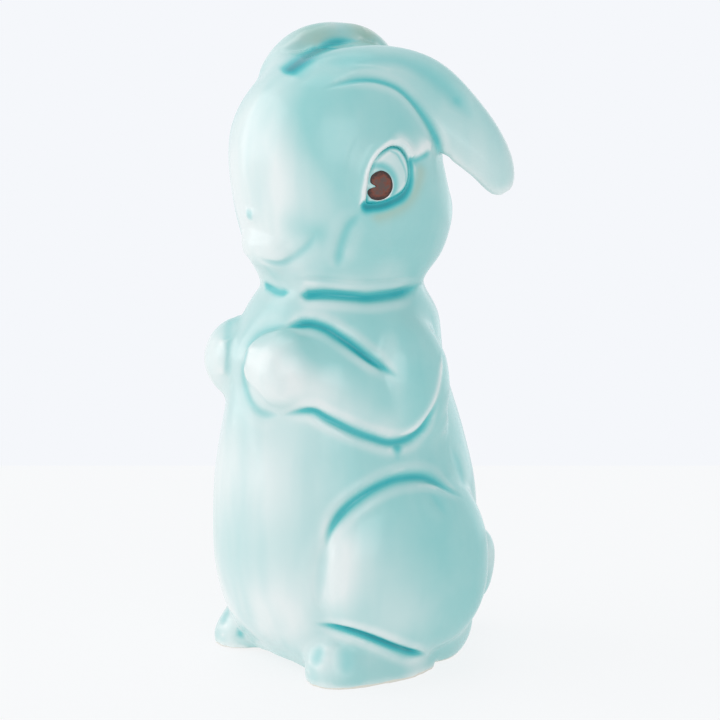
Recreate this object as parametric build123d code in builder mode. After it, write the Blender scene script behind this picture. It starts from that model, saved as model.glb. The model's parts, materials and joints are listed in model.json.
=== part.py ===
"""Slip-cast ceramic rabbit, sitting upright, built from the pieces a potter casts and lutes together.

The rabbit faces -Y, its own left is +X and it stands on Z = 0, with the origin on the flat base.
All lengths are in millimetres. The body and head are hollow castings, open to each other at the
neck. Every other piece is cut to the casting that it is luted to, so the two meet face to face.
"""

import os

from build123d import *

# Body casting
torso_height = 94.0
torso_width = 62.0
torso_depth = 69.0
torso_lean = 3.0
body_wall = 4.5
floor_thickness = 5.0
pour_hole_radius = 7.0
pour_hole_setback = 11.0

# Head casting, with its features measured up from the neck joint and in from the skull's sides
head_height = 58.0
head_width = 52.6
head_depth = 56.0
head_lean = 1.0
head_wall = 5.0
cheek_width = 26.0
cheek_depth = 37.0
cheek_height = 26.0
cheek_sink = 14.8
cheek_level = 14.0
muzzle_width = 25.0
muzzle_depth = 20.0
muzzle_height = 17.5
muzzle_sink = 10.4
muzzle_level = 12.0
nose_width = 9.0
nose_depth = 6.0
nose_height = 6.0
nose_sink = 2.6
nose_level = 19.5

# Ears: each lies back over the skull and then hangs free of it
ear_width = 16.0
ear_thickness = 6.4
ear_hang = 32.0
left_ear_rise = 0.0
left_ear_turn = 0.0
right_ear_rise = 5.0
right_ear_turn = 18.0

# Eyes, each turned from the nose to the side of the head
eye_width = 11.4
eye_height = 15.2
eye_depth = 5.2
eye_sink = 1.1
eye_level = 29.5
eye_turn = 76.0
pupil_width = 6.0
pupil_height = 6.8
pupil_coat = 0.3
pupil_forward = 1.7
pupil_drop = 1.2
pupil_notch_width = 4.0

# Front legs, measured down from the neck joint and in from the flanks and the breast
elbow_sink = 10.5
elbow_setback = 3.0
elbow_drop = 29.5
upper_arm_width = 20.0
upper_arm_depth = 24.0
upper_arm_height = 36.0
upper_arm_drop = 23.0
forearm_length = 53.0
forearm_thickness = 21.0
forearm_height = 28.0
paw_width = 20.0
paw_length = 21.0
paw_height = 21.6
paw_spread = 10.3
paw_sink = 11.7
paw_drop = 18.0

# Hind legs, measured in from the flanks and the breast
haunch_width = 26.5
haunch_length = 48.5
haunch_height = 50.5
haunch_sink = 8.5
haunch_setback = 1.5
haunch_level = 28.0
foot_length = 35.0
foot_width = 17.0
foot_height = 14.0
foot_sink = 12.2
toe_sink = 10.9
foot_toe_in = 7.0

# Tail, measured out from the back
tail_width = 19.0
tail_depth = 20.0
tail_height = 21.5
tail_standout = 1.5
tail_level = 17.0

# Shares of the torso's height, half width, half depth and lean, from the base up
torso_section_shares = (
    (0.000, 0.760, 0.740, -1.00),
    (0.022, 0.820, 0.800, -0.95),
    (0.065, 0.880, 0.860, -0.80),
    (0.150, 0.950, 0.935, -0.45),
    (0.280, 0.990, 0.990, -0.10),
    (0.400, 0.985, 0.995, -0.05),
    (0.510, 0.955, 0.970, 0.10),
    (0.620, 0.895, 0.920, 0.45),
    (0.720, 0.830, 0.860, 0.80),
    (0.820, 0.775, 0.790, 0.75),
    (0.910, 0.740, 0.735, 0.45),
    (0.965, 0.685, 0.670, 0.30),
    (1.000, 0.610, 0.585, 0.20),
)

# Shares of the head's height, half width, half depth and lean, from the neck joint up
head_section_shares = (
    (0.000, 0.680, 0.660, 0.30),
    (0.030, 0.745, 0.730, 0.35),
    (0.080, 0.815, 0.800, 0.40),
    (0.140, 0.870, 0.860, 0.45),
    (0.220, 0.920, 0.912, 0.50),
    (0.310, 0.965, 0.960, 0.55),
    (0.420, 0.995, 0.992, 0.80),
    (0.530, 1.000, 1.000, 1.30),
    (0.650, 0.975, 0.985, 1.50),
    (0.770, 0.900, 0.915, 1.50),
    (0.870, 0.775, 0.795, 1.30),
    (0.940, 0.590, 0.610, 1.00),
    (0.982, 0.350, 0.370, 0.70),
    (1.000, 0.110, 0.110, 0.50),
)

# One row for each section of an ear, from its root to its tip: where it lies on the head, in
# shares of the half width, half depth and height; how far it hangs from there, in shares of the
# free length; the arch's share of the rise; the shares of the ear's half width and half
# thickness; and the way that its broad face looks
ear_section_shares = (
    ((0.152, -0.743, 0.857), (0, 0, 0), 0.00, 0.15, 0.30, (0.25, -0.55, 0.80)),
    ((0.175, -0.700, 0.878), (0, 0, 0), 0.05, 0.40, 0.65, (0.25, -0.50, 0.84)),
    ((0.228, -0.586, 0.905), (0, 0, 0), 0.35, 0.62, 0.90, (0.25, -0.35, 0.92)),
    ((0.312, -0.386, 0.933), (0, 0, 0), 0.75, 0.80, 1.00, (0.28, -0.20, 0.95)),
    ((0.403, -0.157, 0.950), (0, 0, 0), 0.98, 0.88, 1.00, (0.34, -0.08, 0.94)),
    ((0.487, 0.043, 0.947), (0, 0, 0), 1.00, 0.93, 1.00, (0.45, -0.04, 0.89)),
    ((0.586, 0.229, 0.916), (0, 0, 0), 1.00, 0.97, 1.00, (0.60, -0.08, 0.79)),
    ((0.707, 0.386, 0.850), (0, 0, 0), 0.85, 1.00, 1.00, (0.72, -0.18, 0.67)),
    ((0.707, 0.386, 0.850), (0.113, 0.131, -0.181), 0.55, 1.00, 1.00, (0.79, -0.32, 0.52)),
    ((0.707, 0.386, 0.850), (0.219, 0.256, -0.388), 0.25, 0.96, 0.95, (0.82, -0.42, 0.39)),
    ((0.707, 0.386, 0.850), (0.300, 0.363, -0.581), 0.10, 0.82, 0.85, (0.83, -0.45, 0.33)),
    ((0.707, 0.386, 0.850), (0.350, 0.431, -0.731), 0.00, 0.57, 0.65, (0.83, -0.45, 0.33)),
    ((0.707, 0.386, 0.850), (0.375, 0.463, -0.800), 0.00, 0.22, 0.30, (0.83, -0.45, 0.33)),
)

# One row for each section of a foot, from its toe to its heel: shares of the length, half width
# and height
foot_section_shares = (
    (0.000, 0.22, 0.25),
    (0.030, 0.52, 0.55),
    (0.100, 0.80, 0.84),
    (0.220, 0.98, 1.00),
    (0.420, 1.00, 0.93),
    (0.620, 0.93, 0.80),
    (0.820, 0.76, 0.66),
    (0.950, 0.48, 0.44),
    (1.000, 0.18, 0.18),
)

# Places that follow from the castings' sizes
half_torso_width = torso_width / 2
half_torso_depth = torso_depth / 2
half_head_width = head_width / 2
half_head_depth = head_depth / 2
neck_level = torso_height
standing_plane = Plane.XY
neck_plane = Plane.XY.offset(neck_level)


def ellipsoid(width, depth, height, lie):
    """An egg-shaped form of those full sizes along the x, y and z of the plane that it lies in."""
    with BuildPart() as form:
        Sphere(radius=1)
        scale(by=(width / 2, depth / 2, height / 2))
    return form.part.moved(lie.location)


def upright(x, y, z):
    """A plane at that point whose axes are the rabbit's own."""
    return Plane(origin=(x, y, z))


# Outside of the body casting, still solid
with BuildPart() as torso_form:
    for level, half_width, half_depth, lean in torso_section_shares:
        with BuildSketch(Plane.XY.offset(torso_height * level)):
            with Locations((0, -torso_lean * lean)):
                Ellipse(half_torso_width * half_width, half_torso_depth * half_depth)
    loft()

# Body casting: hollow, open at the neck, with the pour hole in its floor
with BuildPart() as torso:
    add(torso_form.part)
    for level, half_width, half_depth, lean in torso_section_shares:
        cavity_level = floor_thickness + (torso_height - floor_thickness) * level
        with BuildSketch(Plane.XY.offset(cavity_level)):
            with Locations((0, -torso_lean * lean)):
                Ellipse(
                    (half_torso_width - body_wall) * half_width,
                    (half_torso_depth - body_wall) * half_depth,
                )
    loft(mode=Mode.SUBTRACT)
    with BuildSketch(standing_plane):
        with Locations((0, pour_hole_setback)):
            Circle(pour_hole_radius)
    extrude(amount=floor_thickness, mode=Mode.SUBTRACT)
torso.part.label = "torso"

# Outside of the head casting: skull, cheeks, muzzle and nose, still solid
cheek = ellipsoid(
    cheek_width,
    cheek_depth,
    cheek_height,
    upright(half_head_width - cheek_sink, -head_lean, neck_level + cheek_level),
)
muzzle = ellipsoid(
    muzzle_width,
    muzzle_depth,
    muzzle_height,
    upright(0, muzzle_sink - half_head_depth, neck_level + muzzle_level),
)
nose = ellipsoid(
    nose_width,
    nose_depth,
    nose_height,
    upright(0, nose_sink - half_head_depth, neck_level + nose_level),
)
with BuildPart() as head_form:
    for level, half_width, half_depth, lean in head_section_shares:
        with BuildSketch(Plane.XY.offset(neck_level + head_height * level)):
            with Locations((0, -head_lean * lean)):
                Ellipse(half_head_width * half_width, half_head_depth * half_depth)
    loft()
    add(cheek)
    mirror(cheek, about=Plane.YZ)
    add(muzzle)
    add(nose)
    split(bisect_by=neck_plane, keep=Keep.TOP)

# Eyeballs, the rabbit's left one first: each fills its socket and stands out of it
eye_reach = half_head_width - eye_sink
eye_lie = Plane(
    origin=Vector(0, -eye_reach, neck_level + eye_level).rotate(Axis.Z, eye_turn),
    x_dir=Vector(1, 0, 0).rotate(Axis.Z, eye_turn),
    z_dir=(0, 0, 1),
)
eyeball_form = ellipsoid(eye_width, eye_depth, eye_height, eye_lie)
with BuildPart() as left_eyeball:
    add(eyeball_form)
left_eyeball.part.label = "left_eyeball"

# Painted pupils: a thin raised coat on the eyeball, with a wedge left bare towards the nose
coat_form = ellipsoid(
    eye_width + 2 * pupil_coat,
    eye_depth + 2 * pupil_coat,
    eye_height + 2 * pupil_coat,
    eye_lie,
)
pupil_lie = Plane(
    origin=eye_lie.from_local_coords(Vector(-pupil_forward, 0, -pupil_drop)),
    x_dir=-eye_lie.x_dir,
    z_dir=-eye_lie.y_dir,
)
with BuildPart() as left_pupil:
    with BuildSketch(pupil_lie):
        Ellipse(pupil_width / 2, pupil_height / 2)
        with BuildLine():
            Polyline(
                (0, 0),
                (pupil_width, pupil_notch_width / 2),
                (pupil_width, -pupil_notch_width / 2),
                close=True,
            )
        make_face(mode=Mode.SUBTRACT)
    extrude(amount=eye_depth)
    add(coat_form, mode=Mode.INTERSECT)
    add(eyeball_form, mode=Mode.SUBTRACT)
    add(head_form.part, mode=Mode.SUBTRACT)
left_pupil.part.label = "left_pupil"

# Head casting: hollow, open at the neck, with a socket for each eye
with BuildPart() as head:
    add(head_form.part)
    for level, half_width, half_depth, lean in head_section_shares:
        cavity_level = (head_height - head_wall) * level
        with BuildSketch(neck_plane.offset(cavity_level)):
            with Locations((0, -head_lean * lean)):
                Ellipse(
                    (half_head_width - head_wall) * half_width,
                    (half_head_depth - head_wall) * half_depth,
                )
    loft(mode=Mode.SUBTRACT)
    add(eyeball_form, mode=Mode.SUBTRACT)
    mirror(eyeball_form, about=Plane.YZ, mode=Mode.SUBTRACT)
head.part.label = "head"


def ear(rise, turn):
    """A left ear lofted over the head from its root to its free tip, cut to the head casting.

    rise lifts the arch of the ear, and turn swings the whole ear towards the back of the head.
    """
    centres = [
        Vector(
            half_head_width * seat[0] + ear_hang * hang[0],
            half_head_depth * seat[1] + ear_hang * hang[1],
            neck_level + head_height * seat[2] + ear_hang * hang[2] + rise * arch,
        ).rotate(Axis.Z, turn)
        for seat, hang, arch, *_ in ear_section_shares
    ]
    before = centres[:1] + centres[:-1]
    after = centres[1:] + centres[-1:]
    with BuildPart() as piece:
        for centre, start, end, row in zip(centres, before, after, ear_section_shares):
            *_, half_width, half_thickness, look = row
            along = end - start
            across = along.cross(Vector(look).rotate(Axis.Z, turn))
            with BuildSketch(Plane(origin=centre, x_dir=across, z_dir=along)):
                Ellipse(ear_width / 2 * half_width, ear_thickness / 2 * half_thickness)
        loft()
        add(head_form.part, mode=Mode.SUBTRACT)
        split(bisect_by=Plane.YZ, keep=Keep.TOP)
    return piece


# Front legs: upper arm, forearm and paw, cut to the body casting
elbow = Vector(half_torso_width - elbow_sink, elbow_setback, neck_level - elbow_drop)
paw = Vector(paw_spread, paw_sink - half_torso_depth, neck_level - paw_drop)
reach = paw - elbow
forearm_lie = Plane(
    origin=(elbow + paw) / 2,
    x_dir=reach,
    z_dir=reach.cross(Vector(0, 0, 1)).cross(reach),
)
with BuildPart() as left_arm:
    add(ellipsoid(forearm_length, forearm_thickness, forearm_height, forearm_lie))
    add(
        ellipsoid(
            upper_arm_width,
            upper_arm_depth,
            upper_arm_height,
            upright(elbow.X, elbow.Y, neck_level - upper_arm_drop),
        )
    )
    add(ellipsoid(paw_width, paw_length, paw_height, Plane(origin=paw)))
    add(torso_form.part, mode=Mode.SUBTRACT)
    split(bisect_by=Plane.YZ, keep=Keep.TOP)
left_arm.part.label = "left_arm"

# Feet, lofted from toe to heel, cut to the standing plane and the body casting
foot_axis = Vector(0, 1, 0).rotate(Axis.Z, -foot_toe_in)
toe_lie = Plane(
    origin=(half_torso_width - foot_sink, toe_sink - half_torso_depth, 0),
    x_dir=foot_axis.cross(Vector(0, 0, 1)),
    z_dir=foot_axis,
)
with BuildPart() as left_foot:
    for along, half_width, height in foot_section_shares:
        with BuildSketch(toe_lie.offset(foot_length * along)):
            Ellipse(foot_width / 2 * half_width, foot_height * height)
    loft()
    split(bisect_by=standing_plane, keep=Keep.TOP)
    add(torso_form.part, mode=Mode.SUBTRACT)
left_foot.part.label = "left_foot"

# Haunches, cut to the body casting and to the foot under each
with BuildPart() as left_haunch:
    add(
        ellipsoid(
            haunch_width,
            haunch_length,
            haunch_height,
            upright(half_torso_width - haunch_sink, haunch_setback, haunch_level),
        )
    )
    add(torso_form.part, mode=Mode.SUBTRACT)
    add(left_foot.part, mode=Mode.SUBTRACT)
left_haunch.part.label = "left_haunch"

# Tail, cut to the body casting and between the haunches
with BuildPart() as tail:
    add(
        ellipsoid(
            tail_width,
            tail_depth,
            tail_height,
            upright(0, half_torso_depth + tail_standout, tail_level),
        )
    )
    add(torso_form.part, mode=Mode.SUBTRACT)
    add(left_haunch.part, mode=Mode.SUBTRACT)
    mirror(left_haunch.part, about=Plane.YZ, mode=Mode.SUBTRACT)
tail.part.label = "tail"


def other_side(left_piece, name):
    """The rabbit's right piece of that name, as the mirror image of a left one."""
    with BuildPart() as piece:
        mirror(left_piece.part, about=Plane.YZ)
    piece.part.label = name
    return piece


left_ear = ear(left_ear_rise, left_ear_turn)
left_ear.part.label = "left_ear"
right_ear = other_side(ear(right_ear_rise, right_ear_turn), "right_ear")
right_arm = other_side(left_arm, "right_arm")
right_haunch = other_side(left_haunch, "right_haunch")
right_foot = other_side(left_foot, "right_foot")
right_eyeball = other_side(left_eyeball, "right_eyeball")
right_pupil = other_side(left_pupil, "right_pupil")

pieces = (
    torso,
    head,
    left_ear,
    right_ear,
    left_arm,
    right_arm,
    left_haunch,
    right_haunch,
    left_foot,
    right_foot,
    tail,
    left_eyeball,
    right_eyeball,
    left_pupil,
    right_pupil,
)
os.makedirs("parts", exist_ok=True)
for piece in pieces:
    export_step(piece.part, f"parts/{piece.part.label}.step")
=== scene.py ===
"""Looks of a sitting ceramic rabbit under a pale celadon glaze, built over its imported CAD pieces.

Lengths are in metres in the CAD's frame: the rabbit faces -Y, its own left is +X and it stands on
Z = 0. The outside of the casting is made as one skin, carved along its creases, and then parted
into the pieces that it was luted together from, so that no seam shows through the glaze.
"""

import json
import logging
import math
from dataclasses import dataclass
from enum import Enum

import bpy
import numpy as np
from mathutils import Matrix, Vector
from mathutils.bvhtree import BVHTree

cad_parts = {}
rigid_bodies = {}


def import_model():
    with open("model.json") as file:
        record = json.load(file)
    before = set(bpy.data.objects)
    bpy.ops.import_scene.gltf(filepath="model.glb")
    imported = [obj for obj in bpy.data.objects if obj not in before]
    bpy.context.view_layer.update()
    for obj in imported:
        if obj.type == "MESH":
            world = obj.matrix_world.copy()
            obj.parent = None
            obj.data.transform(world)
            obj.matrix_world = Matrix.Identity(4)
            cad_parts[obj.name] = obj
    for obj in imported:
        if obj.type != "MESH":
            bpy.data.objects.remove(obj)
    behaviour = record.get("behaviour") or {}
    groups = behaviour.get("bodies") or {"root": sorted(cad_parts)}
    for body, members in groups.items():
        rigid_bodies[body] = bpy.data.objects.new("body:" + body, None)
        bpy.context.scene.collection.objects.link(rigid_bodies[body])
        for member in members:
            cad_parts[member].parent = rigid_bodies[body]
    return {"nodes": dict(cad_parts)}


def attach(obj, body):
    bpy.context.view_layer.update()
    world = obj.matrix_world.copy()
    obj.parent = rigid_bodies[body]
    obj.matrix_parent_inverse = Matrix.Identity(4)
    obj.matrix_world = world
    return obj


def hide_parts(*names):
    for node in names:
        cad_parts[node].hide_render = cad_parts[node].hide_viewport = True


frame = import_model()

MM = 0.001
BODY = "root"

logging.basicConfig(level=logging.INFO, format="%(message)s")
log = logging.getLogger("rabbit")

Pixels = tuple[tuple[float, float], ...]
Colour = tuple[float, float, float]


class Slot(Enum):
    """The record's material slots."""

    BODY_GLAZE = "body_glaze"
    EYE_GLAZE = "eye_glaze"
    PUPIL_ENAMEL = "pupil_enamel"


class Side(Enum):
    """The rabbit's own sides, with the sign of X on each."""

    LEFT = 1
    RIGHT = -1


def linear(red: int, green: int, blue: int) -> Colour:
    """Turns a colour as a screen shows it, 0 to 255, into the linear one that a shader takes.

    Args:
        red: The red share.
        green: The green share.
        blue: The blue share.

    Returns:
        The linear colour.
    """
    shares = []
    for share in (red, green, blue):
        value = share / 255
        shares.append(value / 12.92 if value <= 0.04045 else ((value + 0.055) / 1.055) ** 2.4)
    return shares[0], shares[1], shares[2]


def smooth_step(values: np.ndarray, low: float, high: float) -> np.ndarray:
    """Eases values from 0 at low to 1 at high.

    Args:
        values: The values to ease.
        low: The value that gives 0.
        high: The value that gives 1.

    Returns:
        The eased values.
    """
    share = np.clip((values - low) / (high - low), 0, 1)
    return share * share * (3 - 2 * share)


def deselect_everything() -> None:
    """Deselects every object, because loading the frame leaves its nodes selected."""
    bpy.ops.object.select_all(action="DESELECT")


def make_active(piece: bpy.types.Object) -> None:
    """Selects one object alone and makes it the active one.

    Args:
        piece: The object to select.
    """
    deselect_everything()
    piece.select_set(True)
    bpy.context.view_layer.objects.active = piece


def apply_modifier(piece: bpy.types.Object, kind: str, **settings: object) -> None:
    """Adds a modifier to a piece and applies it.

    Args:
        piece: The piece to change.
        kind: The modifier's type.
        settings: The modifier's settings.
    """
    make_active(piece)
    modifier = piece.modifiers.new(kind.title(), kind)
    for name, value in settings.items():
        setattr(modifier, name, value)
    bpy.ops.object.modifier_apply(modifier=modifier.name)


def select_faces(piece: bpy.types.Object, chosen: np.ndarray) -> None:
    """Selects those faces of a piece, and leaves it in edit mode with faces picked.

    Args:
        piece: The piece whose faces are picked.
        chosen: One true or false for each face.
    """
    make_active(piece)
    bpy.ops.object.mode_set(mode="EDIT")
    bpy.ops.mesh.select_mode(type="FACE")
    bpy.ops.mesh.select_all(action="DESELECT")
    bpy.ops.object.mode_set(mode="OBJECT")
    piece.data.polygons.foreach_set("select", chosen)
    bpy.ops.object.mode_set(mode="EDIT")


def dress(piece: bpy.types.Object, name: str, material: bpy.types.Material) -> None:
    """Names a finished piece, gives it its glaze and lets it stand for its CAD node.

    Args:
        piece: The finished piece, in place in its mesh.
        name: The name of the CAD node that it stands for.
        material: The glaze.
    """
    piece.name = f"{name}_glazed"
    piece.data.name = piece.name
    piece.data.materials.clear()
    piece.data.materials.append(material)
    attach(piece, BODY)
    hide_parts(name)
    log.info("%s: %d faces", piece.name, len(piece.data.polygons))


@dataclass(frozen=True)
class PhotoView:
    """The photograph's camera, which looks down on the rabbit's left side from its front."""

    azimuth: float = 55.0
    elevation: float = 9.5
    distance: float = 600 * MM
    aim_height: float = 80 * MM
    aim_pixel: tuple[float, float] = (345.0, 340.0)
    focal_pixels: float = 2410.0
    image_pixels: float = 720.0
    sensor: float = 36.0

    @property
    def back(self) -> np.ndarray:
        """The way from the point aimed at to the camera."""
        turn, rise = math.radians(self.azimuth), math.radians(self.elevation)
        return np.array(
            [math.sin(turn) * math.cos(rise), -math.cos(turn) * math.cos(rise), math.sin(rise)]
        )

    @property
    def right(self) -> np.ndarray:
        """The way that is right in the photograph."""
        turn = math.radians(self.azimuth)
        return np.array([math.cos(turn), math.sin(turn), 0.0])

    @property
    def eye(self) -> np.ndarray:
        """The camera's place."""
        return np.array([0.0, 0.0, self.aim_height]) + self.back * self.distance

    def ray(self, pixel: tuple[float, float]) -> np.ndarray:
        """Finds the way that the camera looks through a pixel.

        Args:
            pixel: The pixel, right and down from the photograph's corner.

        Returns:
            The unit vector of that way.
        """
        across = (pixel[0] - self.aim_pixel[0]) / self.focal_pixels
        down = (pixel[1] - self.aim_pixel[1]) / self.focal_pixels
        way = self.right * across - np.cross(self.back, self.right) * down - self.back
        return way / np.linalg.norm(way)

    def make_camera(self) -> None:
        """Adds the camera and gives it to the scene."""
        data = bpy.data.cameras.new("photo_view")
        data.sensor_width = self.sensor
        data.lens = self.focal_pixels / self.image_pixels * self.sensor
        data.shift_x = 0.5 - self.aim_pixel[0] / self.image_pixels
        data.shift_y = self.aim_pixel[1] / self.image_pixels - 0.5
        data.clip_start, data.clip_end = 0.01, 20.0
        camera = bpy.data.objects.new("photo_view", data)
        bpy.context.scene.collection.objects.link(camera)
        camera.location = self.eye
        camera.rotation_mode = "QUATERNION"
        camera.rotation_quaternion = Vector(-self.back).to_track_quat("-Z", "Y")
        bpy.context.scene.camera = camera


@dataclass(frozen=True)
class Crease:
    """A line carved into the clay, or with a negative depth a ridge, where the photograph has it. Its
    darker colour in the line is pooled glaze together with painted shade, and its paler colour on
    ridges and beside the line is thinly run glaze together with a painted highlight.

    The points are pixels of the photograph. The line is cut on the rabbit's left side, and on its
    right side too if it is mirrored. It fades at its start, and at its end too unless the end has a
    taper of its own.
    """

    name: str
    points: Pixels
    depth: float
    width: float
    pool: float
    lip: float = 0.18
    fade: float = 4 * MM
    mirrored: bool = True
    pool_width: float = 0.9
    pale_halo_and_highlight: float = 0.3
    pale: float = 0.0
    taper: float = 0.0
    iron: float = 0.0


EAR_GAP = (
    (284, 71), (296, 64), (307, 57), (320, 48.5), (335, 43), (348, 41), (362, 41.5), (376, 43.5),
)

CREASES = (
    # Colour only, with no cut: the dark band in the front of the gap between the ears is painted
    # shade.
    Crease(
        "front of the gap between the ears",
        (
            (283, 75), (287, 71.8), (292, 68), (298, 63.6), (305.5, 58.4), (313, 53.5), (321, 49),
            (329, 45.5),
        ),
        0.0, 4.2 * MM, 1.45, lip=0.0, fade=2 * MM, mirrored=False, pale_halo_and_highlight=0.0, taper=5 * MM,
    ),
    Crease(
        "gap between the ears",
        (
            (303, 59), (309.8, 55), (319.8, 48.5), (329.7, 44), (344.6, 41), (354, 40.5),
            (362, 41),
        ),
        0.2 * MM, 1.6 * MM, 1.1, lip=0.0, fade=3 * MM, mirrored=False, pale_halo_and_highlight=0.0, taper=9 * MM,
    ),
    Crease(
        "ear against the head",
        (
            (326, 89), (340, 84), (359, 79.5), (378, 80.5), (397, 87.5), (412, 100.5), (426, 119),
            (435.5, 137), (439.5, 150), (441, 157),
        ),
        0.45 * MM, 0.95 * MM, 0.65, fade=9 * MM, taper=7 * MM,
    ),
    Crease(
        "hollow of the ear",
        (
            (318, 67), (340, 61), (360, 58), (380, 58), (400, 60), (418, 67), (436, 78),
            (450, 91), (463, 106), (476, 124),
        ),
        0.6 * MM, 2.6 * MM, 0.3, lip=0.0, fade=8 * MM, pool_width=1.0,
    ),
    Crease(
        "glaze pooled in the ear",
        ((446, 86), (454, 95), (461, 104), (468, 115)),
        0.15 * MM, 1.9 * MM, 0.45, lip=0.0, fade=5 * MM, pool_width=1.1,
    ),
    Crease(
        "fold of the brow",
        ((409.5, 157), (412, 160), (416, 160.5), (420.5, 158.5), (426, 155), (432, 151.5)),
        0.45 * MM, 1.1 * MM, 0.55, lip=0.0, fade=1 * MM, pale_halo_and_highlight=0.0, taper=2.5 * MM,
    ),
    # Its paleness is glaze run off the ridge together with a painted highlight on the brow's lit top.
    Crease(
        "brow",
        (
            (392, 139.5), (399, 141), (405, 144.5), (410, 149.5), (414, 153), (418, 153),
            (423, 149.5), (428, 145.5), (433, 142),
        ),
        -0.55 * MM, 1.9 * MM, 0.0, lip=0.0, fade=2.5 * MM, pale=0.8,
    ),
    Crease(
        "shade under the brow",
        ((412, 166), (420, 163), (430, 162)),
        0.25 * MM, 1.7 * MM, 0.15, lip=0.0, fade=3 * MM,
    ),
    Crease(
        "stain round the eye",
        (
            (422, 160), (421, 172), (418, 184), (413, 195), (404, 205), (393, 211.5),
            (381, 215.5), (368, 219),
        ),
        0.0, 2.0 * MM, 0.0, lip=0.0, fade=3 * MM, iron=0.5,
    ),
    Crease(
        "cheek",
        ((362, 211), (356, 218), (349, 226), (344, 237), (340, 250), (338, 261), (337, 270)),
        0.45 * MM, 1.3 * MM, 0.35, lip=0.1,
    ),
    Crease(
        "nostril",
        ((250.5, 207), (249.5, 214), (249.5, 221)),
        0.15 * MM, 1.2 * MM, 0.3, lip=0.0, fade=1.5 * MM, pale_halo_and_highlight=0.0,
    ),
    Crease(
        "mouth",
        (
            (258, 257), (263, 260), (269, 262.5), (276, 264), (284, 263), (291, 259), (298, 254),
            (306, 247.5), (312, 240), (317, 231),
        ),
        0.35 * MM, 1.1 * MM, 0.26, lip=0.1, fade=5 * MM,
    ),
    Crease(
        "under the front of the chin",
        ((263, 283), (267, 286), (272, 289), (277, 292), (283, 293), (291, 292)),
        0.15 * MM, 1.1 * MM, 0.75, lip=0.0, fade=2.5 * MM, pale_halo_and_highlight=0.1, mirrored=False,
    ),
    Crease(
        "under the chin",
        (
            (298, 294), (306, 295), (325, 294.5), (354, 296.5), (368, 297.5), (390, 295),
            (404, 292), (415, 287), (421, 282),
        ),
        0.75 * MM, 1.25 * MM, 1.1, lip=0.05, fade=3 * MM, taper=9 * MM,
    ),
    Crease(
        "roll over the chin crease",
        ((296, 280), (320, 281), (347, 284), (368, 284.5), (390, 283), (411, 279)),
        0.15 * MM, 0.9 * MM, 0.15, lip=0.25, fade=5 * MM,
    ),
    Crease(
        "over the arm",
        (
            (284, 328), (293, 325), (303, 323.5), (313, 324), (326, 328.5), (338, 336),
            (351.5, 345), (365, 355), (379, 365), (398, 378),
        ),
        0.85 * MM, 1.15 * MM, 1.3, lip=0.12, fade=5 * MM, taper=9 * MM,
    ),
    Crease(
        "round the paw",
        (
            (293, 324), (275, 327.5), (260, 333), (248.5, 345), (243.5, 360), (243, 375),
            (246, 390), (252, 404), (262, 413), (282, 416),
        ),
        0.28 * MM, 1.3 * MM, 0.3, lip=0.0, fade=5 * MM, mirrored=False,
    ),
    Crease(
        "beside the far paw",
        ((230, 318), (227.5, 332), (226.5, 347), (226.5, 364), (229, 382)),
        0.2 * MM, 1.6 * MM, 0.22, lip=0.0, fade=4 * MM, mirrored=False,
    ),
    # The pale band it leaves on the forearm above it is partly a painted highlight along the
    # forearm's lower edge.
    Crease(
        "under the arm",
        (
            (282, 416), (296, 412.5), (308, 411), (316, 412.5), (324, 417), (338, 424),
            (355, 432), (372, 438), (389, 442.5), (406, 440), (420, 431.5), (429, 418),
            (437, 400),
        ),
        0.65 * MM, 1.05 * MM, 0.9, lip=0.12, fade=9 * MM, pale_halo_and_highlight=0.4,
    ),
    # Its paleness is a painted highlight, the bright line along the upper arm's edge.
    Crease(
        "edge of the upper arm",
        ((441, 350), (440.5, 370), (437, 391), (430, 408), (420, 422), (406, 432.5), (392, 435)),
        -0.2 * MM, 0.8 * MM, 0.0, lip=0.0, fade=5 * MM, pale=0.7,
    ),
    Crease(
        "run of glaze under the elbow",
        ((397, 441), (397.5, 450), (398, 462)),
        0.08 * MM, 1.8 * MM, 0.85, lip=0.0, fade=1.5 * MM, taper=5 * MM,
    ),
    Crease(
        "front of the haunch",
        (
            (324, 552), (327.5, 538), (331.5, 528), (338.4, 517), (348.3, 506.5), (360, 497.5),
            (374, 488.7), (389.8, 481.5), (403.6, 478), (421.4, 477), (435, 481), (449, 490),
            (461, 497),
        ),
        0.7 * MM, 1.2 * MM, 0.95, lip=0.15, fade=11 * MM,
    ),
    Crease(
        "lower front of the haunch",
        ((332, 528), (325, 548), (321.5, 570), (319.5, 590), (318, 612)),
        0.4 * MM, 1.8 * MM, 0.18, lip=0.2, fade=9 * MM,
    ),
    Crease(
        "second fold of the haunch",
        ((424, 486), (434, 497), (443, 509), (449, 521)),
        0.2 * MM, 1.5 * MM, 0.2, lip=0.4, fade=5 * MM,
    ),
    Crease(
        "flank",
        ((450, 442), (453, 452), (458, 464), (462, 480), (462, 495)),
        0.15 * MM, 2.0 * MM, 0.3, lip=0.1, fade=7 * MM,
    ),
    Crease(
        "over the foot",
        (
            (315, 624), (329, 626), (343.5, 630), (357, 634), (370, 638.5), (384, 644),
            (397, 649), (410.5, 653), (426, 655),
        ),
        1.0 * MM, 1.15 * MM, 1.5, lip=0.1, fade=9 * MM, taper=8 * MM,
    ),
    Crease(
        "corner behind the far foot",
        ((237, 626), (240, 633), (244.5, 641)),
        0.05 * MM, 1.5 * MM, 0.55, lip=0.0, fade=2.5 * MM, mirrored=False,
    ),
    Crease(
        "first toe",
        ((321, 643), (317.5, 654), (313, 668)),
        0.35 * MM, 2.2 * MM, 0.32, lip=0.0, fade=2.5 * MM,
    ),
    Crease(
        "second toe",
        ((347, 642), (346, 658), (348, 678)),
        0.3 * MM, 2.7 * MM, 0.25, lip=0.0, fade=3.5 * MM,
    ),
)


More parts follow.
